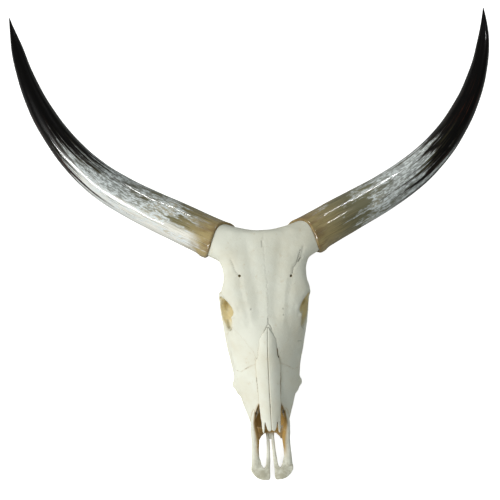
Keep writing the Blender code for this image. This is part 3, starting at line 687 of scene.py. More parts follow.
# How wide the gap beside each nasal bone is, by (y, gap).
NASAL_GAPS = {
    "left": [(60, 0.5), (150, 0.6), (164, 1.2), (174, 1.9), (200, 1.9), (212, 1.0), (222, 0.3), (244, 0.4),
             (247, 2.4), (263, 2.2), (267, 0.15), (306, 0.12)],
    "right": [(60, 0.5), (149, 0.6), (172, 1.0), (205, 1.1), (214, 0.15), (306, 0.12)],
}
NASAL_HALF_WIDTHS = [(60, 18), (93, 18.6), (125, 20.6), (150, 22.6), (180, 23.2), (210, 25), (232, 25.6),
                     (240, 25.4), (250, 20.5), (262, 19), (284, 17), (296, 10), (306, 2)]
# Where the forked tip ends, by (share of the way out from the midline, y).
NASAL_FORK = [(0, 101), (0.12, 98.6), (0.28, 97.6), (0.42, 101), (0.52, 109), (0.6, 117), (0.66, 115),
              (0.76, 102), (0.88, 94), (0.94, 93.4), (1, 97)]


def bridge(x, y, height):
    """A point at a height above the bridge of the nose, a straight slope that is arched across."""
    tilt = 1.8 * NASAL_ARCH / NASAL_HALF_SPAN * power(x / NASAL_HALF_SPAN, 0.8)
    outward = Vector((tilt, -NASAL_SLOPE, 1)).normalized()
    rise = NASAL_SLOPE * (y - NASAL_TIP_Y) - NASAL_ARCH * (abs(x) / NASAL_HALF_SPAN) ** 1.8
    return Vector((x, y, NASAL_TIP_Z + rise)) + outward * height


def nasal_edge(side, y):
    """How far the wavy outer edge of a nasal bone is from the midline."""
    wave = 0.9 * noise.noise((y * 0.09, side * 5, 0)) + 0.5 * noise.noise((y * 0.31, side * 5, 7))
    return max(0.5, through(NASAL_HALF_WIDTHS, y) + wave * min(1, (NASAL_ROOT_Y - y) / 20))


def nasal_bone(name, side):
    """One nasal bone, with rounded edges and a ridge where it meets the other."""
    def place(across, along, is_upper):
        front = through(NASAL_FORK, across)
        y = front + (NASAL_ROOT_Y - front) * along
        width = nasal_edge(side, y)
        x = 0.25 + (width - 0.25) * across
        to_edge = min(min(across, 1 - across) * width, along * 190)
        round_off = 0.8 * max(0.0, 1 - to_edge / 1.6) ** 2
        ridge = NASAL_RIDGE * (1 - across) * min(1, (1 - along) * 6)
        uneven = 0.35 * noise.noise((x * 0.08 + side * 7, y * 0.05, 0))
        crown = ridge + 0.5 * math.sin(math.pi * across) + uneven
        return bridge(side * x, y, crown - round_off if is_upper else round_off - NASAL_THICKNESS)
    return grid_slab(name, 30, 130, place)


def nasal_seat_place(across, along, is_upper):
    """The bed: as wide as the two nasal bones with their gaps, open above and 0.3 mm deeper than they are."""
    front = NASAL_HALF_WIDTHS[0][0]
    y = front + (NASAL_ROOT_Y + 0.4 - front) * along
    which, side = ("left", 1) if across > 0.5 else ("right", -1)
    gap = through(NASAL_GAPS[which], y)
    if which == "left" and 160 < y < 205:
        gap += 0.45 * math.sin(y * 1.5)
    out = nasal_edge(side, min(y, NASAL_ROOT_Y)) + gap
    return bridge((2 * across - 1) * out, y, 26 if is_upper else -NASAL_THICKNESS - 0.3)


boolean(skull, "DIFFERENCE", grid_slab("nasal_seat", 40, 240, nasal_seat_place))
bones = {}
for which, side in SIDES.items():
    bones["nasal_" + which] = nasal_bone("nasal_" + which, side)
print("nasal bones from", NASAL_TIP_Y, "to", NASAL_ROOT_Y)

# %% [markdown]
# ## The front of the jaw
# Each premaxilla is a flat pad where the upper lip grew, since cattle have no upper front teeth. A
# bar rises from it along the side of the nose, and a thin spike runs back beside the midline. The
# long hole between them is cut with a prism, and a fine voxel remesh rounds the edges.

# %% The premaxillae
# The long hole, by (y, inner side, outer side), and the two sides of the pad, by (y, distance).
FISSURE = [(19, 16, 18), (23, 13.6, 20.5), (27, 12.1, 22.6), (44, 10.2, 26.2), (60, 8.9, 25.6),
           (76, 8.3, 23.8), (84, 8.2, 20), (89, 8.6, 15), (92, 9.6, 10.6)]
FISSURE_TOP, FISSURE_BOTTOM = 60, -5
PAD_INNER = [(-6.5, 8), (-5.3, 5.8), (0, 5), (28, 4.7), (38, 5)]
PAD_OUTER = [(-6.5, 19), (-5.6, 24), (-3, 29.5), (0, 34), (4, 38.2), (8, 41), (15, 44.6), (20, 44.4),
             (28, 42.8), (38, 42)]
PAD_TOP, PAD_BOTTOM = 17.5, 8.8


def pad_place(across, along, is_upper):
    y = y_along(PAD_INNER, along)
    near, far = through(PAD_INNER, y), through(PAD_OUTER, y)
    crown = 1.6 * math.sin(math.pi * across) + 4.5 * along
    return near + (far - near) * across, y, PAD_TOP + crown if is_upper else PAD_BOTTOM + 3.2 * along


def jaw_tip_clay(bm):
    """The rising bar and the spike of one premaxilla, laid over its pad."""
    bm.from_mesh(grid_slab("pad", 16, 24, pad_place).data)
    add_limb(bm, [(33.6, 18, 17.5), (34, 40, 20), (33.6, 62, 27), (32.6, 78, 36), (33.3, 96, 48),
                  (35.4, 118, 66), (33.4, 134, 80), (30.5, 147, 92)],
             [(8, 6), (8, 6), (8, 7), (8.6, 9), (8, 12), (5.4, 11), (3.6, 7), (2, 2.5)],
             square=2.6, share=0.08, along=72)
    add_limb(bm, [(9.6, 14, 16), (6.8, 42, 18), (5.6, 62, 20), (5.4, 80, 23), (5.4, 92, 26)],
             [(5, 5), (3.8, 4), (3.5, 3.8), (3.2, 3.4), (2.6, 2.6)], square=3)


def fissure_place(across, along, is_upper):
    y = y_along(FISSURE, along)
    near, far = through(FISSURE, y, 1), through(FISSURE, y, 2)
    return near + (far - near) * across, y, FISSURE_TOP if is_upper else FISSURE_BOTTOM


def mirrored(obj, name):
    """A copy of an object, mirrored through the midline."""
    bm = bmesh.new()
    bm.from_mesh(obj.data)
    bmesh.ops.transform(bm, matrix=Matrix.Diagonal((-1, 1, 1, 1)), verts=bm.verts)
    bmesh.ops.reverse_faces(bm, faces=bm.faces)
    return to_object(name, bm)


FIT_GAP = 0.12
fissure = grid_slab("fissure", 4, 30, fissure_place)
boolean(skull, "DIFFERENCE", fissure)
boolean(skull, "DIFFERENCE", mirrored(fissure, "fissure_right"))
jaw_tip = fused("premaxilla_left", [jaw_tip_clay], 1.1, 2, mirror=False)
boolean(jaw_tip, "DIFFERENCE", fissure)
fuse(jaw_tip, 1.0, 4)
places, normals = mesh_arrays(jaw_tip)
places += normals * undulation(places * 1.7)[:, None]
jaw_tip.data.vertices.foreach_set("co", (places * MM).ravel())
bones["premaxilla_left"] = jaw_tip
bones["premaxilla_right"] = mirrored(jaw_tip, "premaxilla_right")
for which in SIDES:
    clearance = to_object("clearance_" + which, bmesh.new())
    clearance.data = bones["premaxilla_" + which].data.copy()
    modify(clearance, "DISPLACE", strength=FIT_GAP * MM, mid_level=0)
    boolean(skull, "DIFFERENCE", bake_modifiers(clearance))
print("each premaxilla has", len(jaw_tip.data.polygons), "faces")

# %% [markdown]
# ## The cheek teeth
# A steer grinds grass with six upper teeth on each side, three small and three large. A large tooth
# is two lobes side by side, a small one is a single lobe. Each lobe is a short column whose outer
# side carries upright ribs. On its grinding end an inset leaves a raised rim of enamel, and a second
# inset sinks the middle.

# %% Teeth
TEETH_START_Y = 160.0
TOOTH_TOP = 36.0
# Length, width, distance from the midline and number of lobes, from front to back.
TEETH = [(13, 15, 38, 1), (17, 18, 41, 1), (17, 20, 43, 1), (25, 23, 46, 2), (28, 24, 47, 2), (29, 23, 46, 2)]
# The insets of the grinding end: share of half the length, and height. A negative one sinks.
CROWN_INSETS = [(0.14, 0), (0.06, -1.0), (0.26, 0), (0.06, 0.9), (0.12, 0), (0.06, -2.4)]


def tooth_lobe(name, x, y, width, length):
    """One column of a tooth, standing on the floor."""
    bm = bmesh.new()
    bmesh.ops.create_cone(bm, cap_ends=True, segments=40, radius1=1, radius2=1, depth=1)
    upright = [e for e in bm.edges if abs(e.verts[0].co.z - e.verts[1].co.z) > 0.5]
    bmesh.ops.subdivide_edges(bm, edges=upright, cuts=7)
    for vert in bm.verts:
        angle, height = math.atan2(vert.co.y, vert.co.x), vert.co.z + 0.5
        outer = max(0.0, math.cos(angle))
        ribs = 0.09 * outer * math.cos(angle * 4.2) ** 2 + 0.05 * noise.noise((angle * 2, y, height * 2))
        flare = 1 - 0.1 * height
        across = power(math.cos(angle), 0.72) * width / 2 * (flare + ribs)
        forward = power(math.sin(angle), 0.72) * length / 2 * (flare + 0.03 * math.sin(height * 9))
        vert.co = Vector((x + across + 1.2 * height, y + forward, height * TOOTH_TOP)) * MM
    bmesh.ops.recalc_face_normals(bm, faces=bm.faces)
    bm.normal_update()
    grinding = [f for f in bm.faces if len(f.verts) > 4 and f.calc_center_median().z < 1 * MM]
    for share, depth in CROWN_INSETS:
        bmesh.ops.inset_region(bm, faces=grinding, thickness=share * length / 2 * MM, depth=depth * MM)
    return to_object(name, bm)


y, tooth_row = TEETH_START_Y, None
for length, width, x, lobes in TEETH:
    share = length / lobes
    lobe_length = share + 0.6 if lobes > 1 else share - 0.4
    for lobe in range(lobes):
        made = tooth_lobe("tooth", x, y + share * (lobe + 0.5), width, lobe_length)
        tooth_row = made if tooth_row is None else boolean(tooth_row, "UNION", made)
    y += length
TEETH_END_Y = y
boolean(skull, "UNION", tooth_row)
boolean(skull, "UNION", mirrored(tooth_row, "tooth_row_right"))
print("teeth from", TEETH_START_Y, "to", TEETH_END_Y)

# %% [markdown]
# ## The horns
# A horn is a sheath of keratin over a bony core, here without the skin that joined them, so its rim
# shows. Its middle line is walked from the base in short steps, with a heading that turns and rises
# as measured, and a cylinder cut into rings is laid along that walk. Every point also keeps where it
# lies on the horn, as an attribute called grain, so that the material's fibres follow the curve.

# %% Horn sheaths
HORN_BASE_RADIUS, SHEATH_WALL, SOCKET_DEPTH = 41.0, 4.0, 16.0
HORN_RADII = [1.0, 1.0, 0.975, 0.93, 0.88, 0.79, 0.68, 0.575, 0.445, 0.30, 0.02]
HORN_RISE = [-18, -16, -10, -2, 6, 12, 15, 16, 14, 10, 6]
HORNS = {
    "left": {"side": 1, "length": 661.0,
             "bend": [29.3, 28.3, 26.9, 28.9, 33.9, 43.5, 53.7, 63.9, 73.7, 83, 92.8]},
    "right": {"side": -1, "length": 671.0,
              "bend": [30.2, 30.1, 29, 30.3, 36.3, 46.1, 55.2, 63.3, 72, 77.7, 78.4]},
}
HORN_FLATNESS = 0.94
# The rim is cut askew, by three waves round the horn, which fade out over a share of its length.
RIM_SKEW, SKEW_FADE = (0.245, 0.10, -0.20), 0.07
RIM_LIP = 2.5
# A swelling at the front of the horn: its height, how far from the rim it lies and how long it is.
RIM_SWELLING, SWELLING_FROM_RIM, SWELLING_LENGTH = 5, 14, 11


def horn_line(length, bend, steps=160):
    """Points of a horn's centre line."""
    points = [Vector(HORN_BASE)]
    for i in range(steps):
        t = (i + 0.5) / steps
        turn, lift = (math.radians(spline([[a] for a in angles], t)[0]) for angles in (bend, HORN_RISE))
        step = Vector((math.cos(turn) * math.cos(lift), math.sin(turn) * math.cos(lift), math.sin(lift)))
        points.append(points[-1] + step * length / steps)
    return points


def horn_radius(t):
    """The radius at a share of the horn's length."""
    return HORN_BASE_RADIUS * float(spline([[r] for r in HORN_RADII], max(t, 0))[0])


def horn_point(line, t, angle, radius):
    """A point round the horn. The rim is cut askew, and that fades along the horn."""
    place = t * (len(line) - 1)
    i = max(0, min(int(place), len(line) - 2))
    centre = line[i].lerp(line[i + 1], place - i)
    ahead = (line[min(i + 2, len(line) - 1)] - line[max(i - 1, 0)]).normalized()
    front = ahead.cross(Vector((0, 0, 1))).normalized()
    up = front.cross(ahead)
    waves = (math.cos(angle), math.sin(angle), math.sin(2 * angle))
    slip = sum(amount * wave for amount, wave in zip(RIM_SKEW, waves)) * math.exp(-max(t, 0) / SKEW_FADE)
    return (centre + front * math.cos(angle) * radius + up * math.sin(angle) * radius * HORN_FLATNESS
            + ahead * slip * radius)


def horn_loft(name, rings, side, length, bend, around=48, worn=0.0):
    """A closed skin over rings of (t, radius) along a horn's line. worn adds a slight unevenness."""
    line = horn_line(length, bend)
    bm = bmesh.new()
    bmesh.ops.create_cone(bm, cap_ends=True, segments=around, radius1=1, radius2=1, depth=len(rings) - 1)
    lengthwise = [e for e in bm.edges if abs(e.verts[0].co.z - e.verts[1].co.z) > 0.5]
    bmesh.ops.subdivide_edges(bm, edges=lengthwise, cuts=len(rings) - 2)
    grain = bm.verts.layers.float_vector.new("grain")
    for vert in bm.verts:
        t, radius = rings[round(vert.co.z + (len(rings) - 1) / 2)]
        angle = math.atan2(vert.co.y, vert.co.x)
        front, top = math.cos(angle), math.sin(angle)
        from_swelling = (t * length - SWELLING_FROM_RIM) / SWELLING_LENGTH
        radius -= worn * (0.5 + noise.noise((front * 1.3, top * 1.3, t * 16 + side)))
        radius += worn * RIM_SWELLING * max(0.0, front) * math.exp(-(from_swelling ** 2))
        chipped = worn * 4.5 * max(0.0, noise.noise((front * 2.2, top * 2.2, side * 3)) + 0.15)
        near_rim = math.exp(-abs(t) * length / 9)
        place = horn_point(line, t + chipped / length * near_rim, angle, max(radius, 0.3))
        place.x *= side
        vert.co = place * MM
        vert[grain] = (front, top, t)
    poked = bmesh.ops.poke(bm, faces=[face for face in bm.faces if len(face.verts) > 4])
    for vert in poked["verts"]:
        vert[grain] = (0, 0, max(e.other_vert(vert)[grain].z for e in vert.link_edges))
    bmesh.ops.recalc_face_normals(bm, faces=bm.faces)
    return to_object(name, bm)


def sheath_rings(length, count=190):
    """A sheath from its socket's floor, up the socket's wall, round the rim and out to the tip."""
    at_rim = horn_radius(0)
    rings = [(SOCKET_DEPTH / length, at_rim - SHEATH_WALL - 1), (0, at_rim - SHEATH_WALL),
             (-0.6 / length, at_rim - 2.6), (-0.8 / length, at_rim - 0.8), (0, at_rim + 1.4)]
    for i in range(1, count):
        t = (i / (count - 1)) ** 1.1
        rings.append((t, horn_radius(t) + RIM_LIP * math.exp(-t * length / 14)))
    return rings


CORE_RADIUS = HORN_BASE_RADIUS - SHEATH_WALL - 0.4
CLEARING_RADIUS = 62
sheaths = {}
for which, horn in HORNS.items():
    length = horn["length"]
    sheaths[which] = horn_loft("sheath_" + which, sheath_rings(length), around=84, worn=0.5, **horn)
    # The neck is cut off square under the rim, and the bony core stands on the cut.
    clearing = [(-1.2 / length, CLEARING_RADIUS), (0.12, CLEARING_RADIUS)]
    boolean(skull, "DIFFERENCE", horn_loft("clearing", clearing, **horn))
    core = [(-14 / length, CORE_RADIUS - 3), (0, CORE_RADIUS),
            ((SOCKET_DEPTH - 0.4) / length, CORE_RADIUS - 1)]
    boolean(skull, "UNION", horn_loft("core", core, **horn))
    print("horn", which, "is", length, "mm along its middle")

# %% [markdown]
# ## Parting the skull
# The bones of a skull meet at sutures, ragged seams where they once grew. Each face bone is what
# lies inside an outline drawn on the side of the skull. The outline's edges are made ragged, then a
# Boolean intersection keeps the bone, and a slightly grown outline cuts it away from the rest.

# %% Bone outlines and the cuts
SUTURE_GAP = 0.12
CELL_OUTER = 140  # how far from the midline an outline's slab reaches
# An outline is seen from the side as (y, z). The bone takes what lies further than inner from the midline.
PARTED_BONES = {
    "zygomatic": {"inner": 56.0, "outline": [
        (228, 88), (246, 62), (258, 40), (310, 40), (396, 60), (390, 110), (364, 110), (352, 96), (322, 96),
        (306, 102), (292, 90)]},
    "lacrimal": {"inner": 12.0, "outline": [
        (222, 104), (228, 88), (292, 90), (306, 102), (318, 100), (313, 138), (262, 140), (236, 132)]},
    "maxilla": {"inner": SUTURE_GAP / 2, "outline": [
        (80, -20), (312, -20), (312, 38), (300, 56), (292, 90), (228, 88), (222, 104), (236, 132), (244, 170),
        (80, 170)]},
}


def ragged(outline, step=2.2):
    """The outline with its sides broken into small uneven teeth, a step apart."""
    made = []
    for (ay, az), (by, bz) in zip(outline, outline[1:] + outline[:1]):
        length = math.hypot(by - ay, bz - az)
        count = max(1, round(length / step))
        for i in range(count):
            y, z = ay + (by - ay) * i / count, az + (bz - az) * i / count
            tooth = 1.6 * noise.noise((y * 0.31, z * 0.31, 0.5)) if i else 0
            wave = 2.2 * math.sin(math.pi * i / count) * noise.noise((y * 0.05, z * 0.05, 4))
            push = tooth + wave
            made.append((y + (bz - az) / length * push, z - (by - ay) / length * push))
    return made


def grown(outline, gap):
    """The outline with every side moved outwards by the gap."""
    points = [Vector(p) for p in outline]
    turning = sum(a.x * b.y - b.x * a.y for a, b in zip(points, points[1:] + points[:1]))
    moved = []
    for i, point in enumerate(points):
        before = (point - points[i - 1]).normalized()
        after = (points[(i + 1) % len(points)] - point).normalized()
        outward = Vector((before.y + after.y, -before.x - after.x)) * math.copysign(1, turning)
        moved.append(point + outward * gap / (1 + before.dot(after)))
    return moved


def cell(name, side, inner, outline):
    """A slab with the outline as its shape seen from the side."""
    bm = bmesh.new()
    face = bm.faces.new([bm.verts.new(Vector((side * inner, y, z)) * MM) for y, z in outline])
    pushed = corners_of(bmesh.ops.extrude_face_region(bm, geom=[face]))
    bmesh.ops.translate(bm, vec=Vector((side * (CELL_OUTER - inner) * MM, 0, 0)), verts=pushed)
    bmesh.ops.triangulate(bm, faces=bm.faces)
    bmesh.ops.recalc_face_normals(bm, faces=bm.faces)
    return to_object(name, bm)


def keep_largest(obj):
    """Drops every loose crumb that the cuts left."""
    bm = bmesh.new()
    bm.from_mesh(obj.data)
    unseen, groups = set(bm.verts), []
    while unseen:
        waiting = [unseen.pop()]
        group = set(waiting)
        while waiting:
            for edge in waiting.pop().link_edges:
                for vert in unseen.intersection(edge.verts):
                    unseen.discard(vert)
                    group.add(vert)
                    waiting.append(vert)
        groups.append(group)
    groups.sort(key=len)
    bmesh.ops.delete(bm, geom=[v for group in groups[:-1] for v in group], context="VERTS")
    bm.to_mesh(obj.data)
    bm.free()


def floor_block():
    """A block whose top is the floor, to cut off what would sink into it."""
    bm = bmesh.new()
    bmesh.ops.create_cube(bm, size=1, matrix=Matrix.Translation((0, 0.25, -0.5)))
    return to_object("below_the_floor", bm)


boolean(skull, "DIFFERENCE", floor_block())
for bone, shape in PARTED_BONES.items():
    for which, side in SIDES.items():
        name = bone + "_" + which
        inner, edge = shape["inner"], ragged(shape["outline"])
        piece = to_object(name, bmesh.new())
        piece.data = skull.data.copy()
        boolean(piece, "INTERSECT", cell(name + "_cell", side, inner, edge))
        gap = cell(name + "_gap", side, inner - SUTURE_GAP, grown(edge, SUTURE_GAP))
        boolean(skull, "DIFFERENCE", gap)
        keep_largest(piece)
        bones[name] = piece
keep_largest(skull)
bones["cranium"] = skull
print({name: len(bone.data.polygons) for name, bone in bones.items()})

# %% [markdown]
# ## Into place
# The skull is bent by its slight natural sway, and everything moves from the skull's own axes to
# the frame's. The two horns show how far: they are the same horns as the frame's.

# %% Sway and shift
def bend(bone):
    """Bends a bone sideways by the skull's sway."""
    places, _ = mesh_arrays(bone)
    places[:, 0] += sway(places[:, 1])
    put_points(bone, places)


own = np.concatenate([mesh_arrays(sheath)[0] for sheath in sheaths.values()])
theirs = np.array([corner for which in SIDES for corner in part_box("horn_" + which)]) / MM
shift = (theirs.min(0) + theirs.max(0) - own.min(0) - own.max(0)) / 2
shift[1] = theirs.max(0)[1] - own.max(0)[1]
print("from the skull's axes to the frame:", np.round(shift, 3), "mm")
shift[2] = 0
for bone in bones.values():
    bend(bone)
for piece in [*bones.values(), *sheaths.values()]:
    put_points(piece, mesh_arrays(piece)[0] + shift)

# %% [markdown]
# ## How sheltered each place is
# Recesses keep dust, dried tissue and stain, while proud places are bleached. Recesses also lie in
# shade, and the bone material paints that shade into their colour too: the tan and brown it lays by
# this number are stain and painted shade together. To find the recesses, a cone of rays is sent out
# of every point: the more of them that hit bone nearby, the more sheltered the point is. One short ray
# straight out finds the crevices between two bones.

# %% Rays out of the bones
RAYS = 10
RAY_REACH, CREVICE_REACH = 70 * MM, 3.2 * MM


def cone_of_rays():
    """Directions spread evenly over the half ball about +Z."""
    golden = math.pi * (3 - math.sqrt(5))
    rays = []
    for i in range(RAYS):
        height = math.sqrt(1 - (i + 0.5) / RAYS)
        out = math.sqrt(1 - height * height)
        rays.append(Vector((out * math.cos(golden * i), out * math.sin(golden * i), height)))
    return rays


def sheltered(tree, places, normals):
    """How sheltered each point is, from 0 to 1, and whether it lies in a crevice."""
    rays = cone_of_rays()
    shelter, crevice = np.zeros(len(places)), np.zeros(len(places))
    for i, (place, normal) in enumerate(zip(places, normals)):
        normal = Vector(normal)
        if tree.ray_cast((Vector(place) + normal * 0.02) * MM, normal, CREVICE_REACH)[0] is not None:
            crevice[i] = 1
            continue
        turned = normal.to_track_quat("Z", "Y")
        start = Vector(place) * MM + normal * 0.8 * MM
        for ray in rays:
            hit = tree.ray_cast(start, turned @ ray, RAY_REACH)
            if hit[0] is not None:
                shelter[i] += (1 - hit[3] / RAY_REACH) ** 0.5 / RAYS
    return shelter, crevice


whole = bmesh.new()
for bone in bones.values():
    whole.from_mesh(bone.data)
all_bone = BVHTree.FromBMesh(whole)
whole.free()
print("directions in the cone:", RAYS)

# %% [markdown]
# ## What the materials are told
# Every point of every bone keeps six numbers as attributes, which the bone material reads: whether it
# is in the cavity of the nose, how dark a mark it lies in, how worn and shaded the front of the jaw is,
# how sheltered it is, whether it is in the eye socket, and whether it is tooth. The material turns the
# cavity, the front of the jaw and the sheltered places darker, for their stain and wear and for
# painted shade. Each is averaged with its neighbours for a few rounds, so that one finish fades into
# the next.

# %% Attributes on the bones
# A region is the reach of the distance from the midline, of y and of z.
NOSE = ((-1, 50), (38, 330), (12, 150))
NASAL_SEAMS = ((-1, 30), (93, 308), (80, math.inf))
SEAM_DARKNESS = [(205, 0.9), (216, 0.35), (244, 0.35), (246, 0.9), (263, 0.9), (265, 0.3)]
EYE_SOCKET = ((55, math.inf), (296, 388), (62, 146))
NOTCH_END = ((55, math.inf), (290, 326), (80, math.inf))
TOOTH_ROW = ((27, 63), (TEETH_START_Y - 1, TEETH_END_Y + 2), (-math.inf, math.inf))
GUM_LINE = 19


def ramp(values, start, length):
    """0 up to the start, 1 after the length, and a straight rise between."""
    return np.clip((values - start) / length, 0, 1)


def in_nose(name, places, normals, shelter):
    """1 on the walls, floor and roof of the nasal cavity: brown stain and painted shade."""
    x, y, z = places.T
    if name.startswith("nasal"):
        deep = np.clip(-normals[:, 2] * 2, 0, 1)
    else:
        bridge_z = NASAL_TIP_Z + NASAL_SLOPE * (y - NASAL_TIP_Y)
        walls = np.clip(0.3 - normals[:, 0] * np.sign(x) * 2.0, 0, 1) * np.clip((bridge_z - 8 - z) / 6, 0, 1)
        floor = np.clip(normals[:, 2] * 2 - 0.4, 0, 1) * ramp(y, 76, 16) * (z < 84) * (abs(x) < 25)
        deep = np.maximum(np.maximum(walls, floor), np.clip(shelter * 2.2 - 0.5, 0, 1))
        deep = deep * ((abs(x) > 15) | (y > 92))
    return np.where(within(places, NOSE), deep, 0) * ramp(y, 38, 25)


def in_socket(places, normals, shelter, crevice):
    """1 on the walls of the eye socket, fading out towards its front end."""
    x, y, _ = places.T
    socket = within(places, EYE_SOCKET) & (shelter + crevice > 0.12)
    return socket * ramp(y, 306, 28) * np.clip(1.3 - normals[:, 0] * np.sign(x) * 2.2, 0, 1)


def keep_numbers(name, bone):
    """Gives a bone its six attributes."""
    places, normals = mesh_arrays(bone)
    shelter, crevice = sheltered(all_bone, places, normals)
    places -= shift
    places[:, 0] -= sway(places[:, 1])
    x, y, z = places.T
    seam = crevice * within(places, NASAL_SEAMS) * np.interp(y, *zip(*SEAM_DARKNESS))
    enamel = np.where(within(places, TOOTH_ROW), np.clip((GUM_LINE - z) / 4, 0, 1), 0.0)
    kept = {  # name: (values, rounds of averaging)
        # the brown of the nasal cavity: stain and painted shade
        "cavity": (in_nose(name, places, normals, shelter), 4),
        "mark": (np.maximum(mark_depths(places, normals)[1], seam), 0),
        # darker towards the front of the jaw, and more on the shaded side (x > 0): wear and painted shade
        "worn": (np.clip((52 - y) / 40, 0, 1) * np.where(x > 0, 1.3, 1.0), 0),
        # sheltered places: tan and brown stain with painted shade, held back at the end of the eye notch
        "shelter": (np.where(within(places, NOTCH_END), shelter * 0.35, shelter), 6),
        "orbit": (in_socket(places, normals, shelter, crevice), 4),
        "tooth": (enamel, 2),
    }
    for label, (values, rounds) in kept.items():
        layer = bone.data.attributes.new(label, "FLOAT", "POINT")
        layer.data.foreach_set("value", spread(bone, values, rounds).astype(np.float32))
    print(name, "is sheltered by", round(float(shelter.mean()), 3), "on average")


for name, bone in bones.items():
    keep_numbers(name, bone)

# %% [markdown]
# ## Building blocks for the materials
# Nodes are laid out in code, so small helpers keep it readable: one adds a node and joins its
# inputs, others do sums with masks, and one lays coats of colour over each other. Bone and tooth both
# want noise at several sizes, so it is a node group with one output for broad clouds, one for
# patches and one for fine grain.

# %% Node helpers and the shared groups
def add_node(tree, kind, inputs=None, **settings):
    """A node whose inputs are values or other nodes' outputs."""
    made = tree.nodes.new("ShaderNode" + kind)
    for name, value in settings.items():
        setattr(made, name, value)
    for key, value in (inputs or {}).items():
        if isinstance(value, bpy.types.NodeSocket):
            tree.links.new(value, made.inputs[key])
        else:
            made.inputs[key].default_value = value
    return made


def math_node(tree, operation, first, second=0.0):
    """The result of a Math node."""
    return add_node(tree, "Math", {0: first, 1: second}, operation=operation).outputs[0]


def times(tree, *masks):
    """The masks multiplied with each other."""
    made = masks[0]
    for mask in masks[1:]:
        made = math_node(tree, "MULTIPLY", made, mask)
    return made


def scaled(tree, value, factor, added):
    """A value times a factor, plus a number."""
    return add_node(tree, "Math", {0: value, 1: factor, 2: added}, operation="MULTIPLY_ADD").outputs[0]


def between(tree, value, low, high):
    """0 at low, 1 at high, and a straight rise between."""
    return add_node(tree, "MapRange", {"Value": value, "From Min": low, "From Max": high}).outputs[0]


def mixed(tree, amount, first, second):
    """One colour covered by another where the amount is 1. A colour is an output or (red, green, blue)."""
    made = add_node(tree, "Mix", {"Factor": amount}, data_type="RGBA", blend_type="MIX")
    for key, value in ((6, first), (7, second)):
        if isinstance(value, bpy.types.NodeSocket):
            tree.links.new(value, made.inputs[key])
        else:
            made.inputs[key].default_value = (*value, 1)
    return made.outputs[2]


def layered(tree, ground, coats):
    """The ground colour under coats of (mask, colour), the last one on top."""
    for mask, coat in coats:
        ground = mixed(tree, mask, ground, coat)
    return ground


def attribute(tree, name, output="Fac"):
    """What the material reads from one of the mesh's attributes."""
    return add_node(tree, "Attribute", attribute_name=name).outputs[output]


def new_group(name, inputs, outputs):
    """An empty node group with its own input and output nodes."""
    group = bpy.data.node_groups.new(name, "ShaderNodeTree")
    for label, kind in inputs.items():
        group.interface.new_socket(label, in_out="INPUT", socket_type="NodeSocket" + kind)
    for label, kind in outputs.items():
        group.interface.new_socket(label, in_out="OUTPUT", socket_type="NodeSocket" + kind)
    return group, group.nodes.new("NodeGroupInput"), group.nodes.new("NodeGroupOutput")


def clouds_group():
    """Noise at three sizes: broad clouds, patches and fine grain."""
    group, given, result = new_group("clouds and grain", {"Vector": "Vector", "Scale": "Float"},
                                     {"Clouds": "Float", "Patches": "Float", "Grain": "Float"})
    for label, factor, detail in (("Clouds", 1, 3), ("Patches", 6, 5), ("Grain", 45, 6)):
        scale = math_node(group, "MULTIPLY", given.outputs["Scale"], factor)
        cloud = add_node(group, "TexNoise", {"Vector": given.outputs["Vector"], "Scale": scale,
                                             "Detail": detail, "Roughness": 0.6})
        group.links.new(cloud.outputs["Fac"], result.inputs[label])
    return group


def use_group(tree, group, inputs):
    """A node group in a material, with its inputs joined."""
    made = add_node(tree, "Group", node_tree=group)
    for key, value in inputs.items():
        if isinstance(value, bpy.types.NodeSocket):
            tree.links.new(value, made.inputs[key])
        else:
            made.inputs[key].default_value = value
    return made


def new_material(name):
    """A material, its node tree and its Principled shader."""
    made = bpy.data.materials.new(name)
    made.use_nodes = True
    return made, made.node_tree, made.node_tree.nodes["Principled BSDF"]


clouds = clouds_group()
print("shared groups:", [group.name for group in bpy.data.node_groups])

# %% [markdown]
# ## Bone
# Bleached bone is a warm off-white, matt with a faint polish where hands have rubbed it. It is
# yellower in broad clouds, tan and brown where it is sheltered from stain and painted shade, brown in
# the nasal cavity from stain and painted shade, darker at the front of the jaw from wear and painted
# shade, dark in its cracks and full of tiny pores.
# Teeth are the same dry white with ivory stain, but their enamel shines.

# %% The bone and tooth material
BONE_WHITE = (0.79, 0.795, 0.70)
BONE_CREAM = (0.74, 0.72, 0.60)
BONE_BUFF = (0.66, 0.58, 0.42)
# The next four colours are stain and wear laid together with painted shade: tan and brown in sheltered
# places, the darker front of the jaw, and the brown of the nasal cavity.
TAN_STAIN_AND_SHADE = (0.66, 0.54, 0.34)
BROWN_STAIN_AND_SHADE = (0.30, 0.20, 0.10)
WORN_AND_SHADED_FRONT = (0.50, 0.48, 0.37)
CAVITY_STAIN_AND_SHADE = (0.44, 0.27, 0.078)
ORBIT_TAN = (0.86, 0.74, 0.43)
CRACK_DARK = (0.13, 0.12, 0.09)
PORE_BROWN = (0.45, 0.36, 0.22)
ENAMEL = (0.72, 0.66, 0.52)
TOOTH_STAIN = (0.20, 0.13, 0.07)
CLOUD_SCALE, PORE_SCALE = 14.0, 620.0


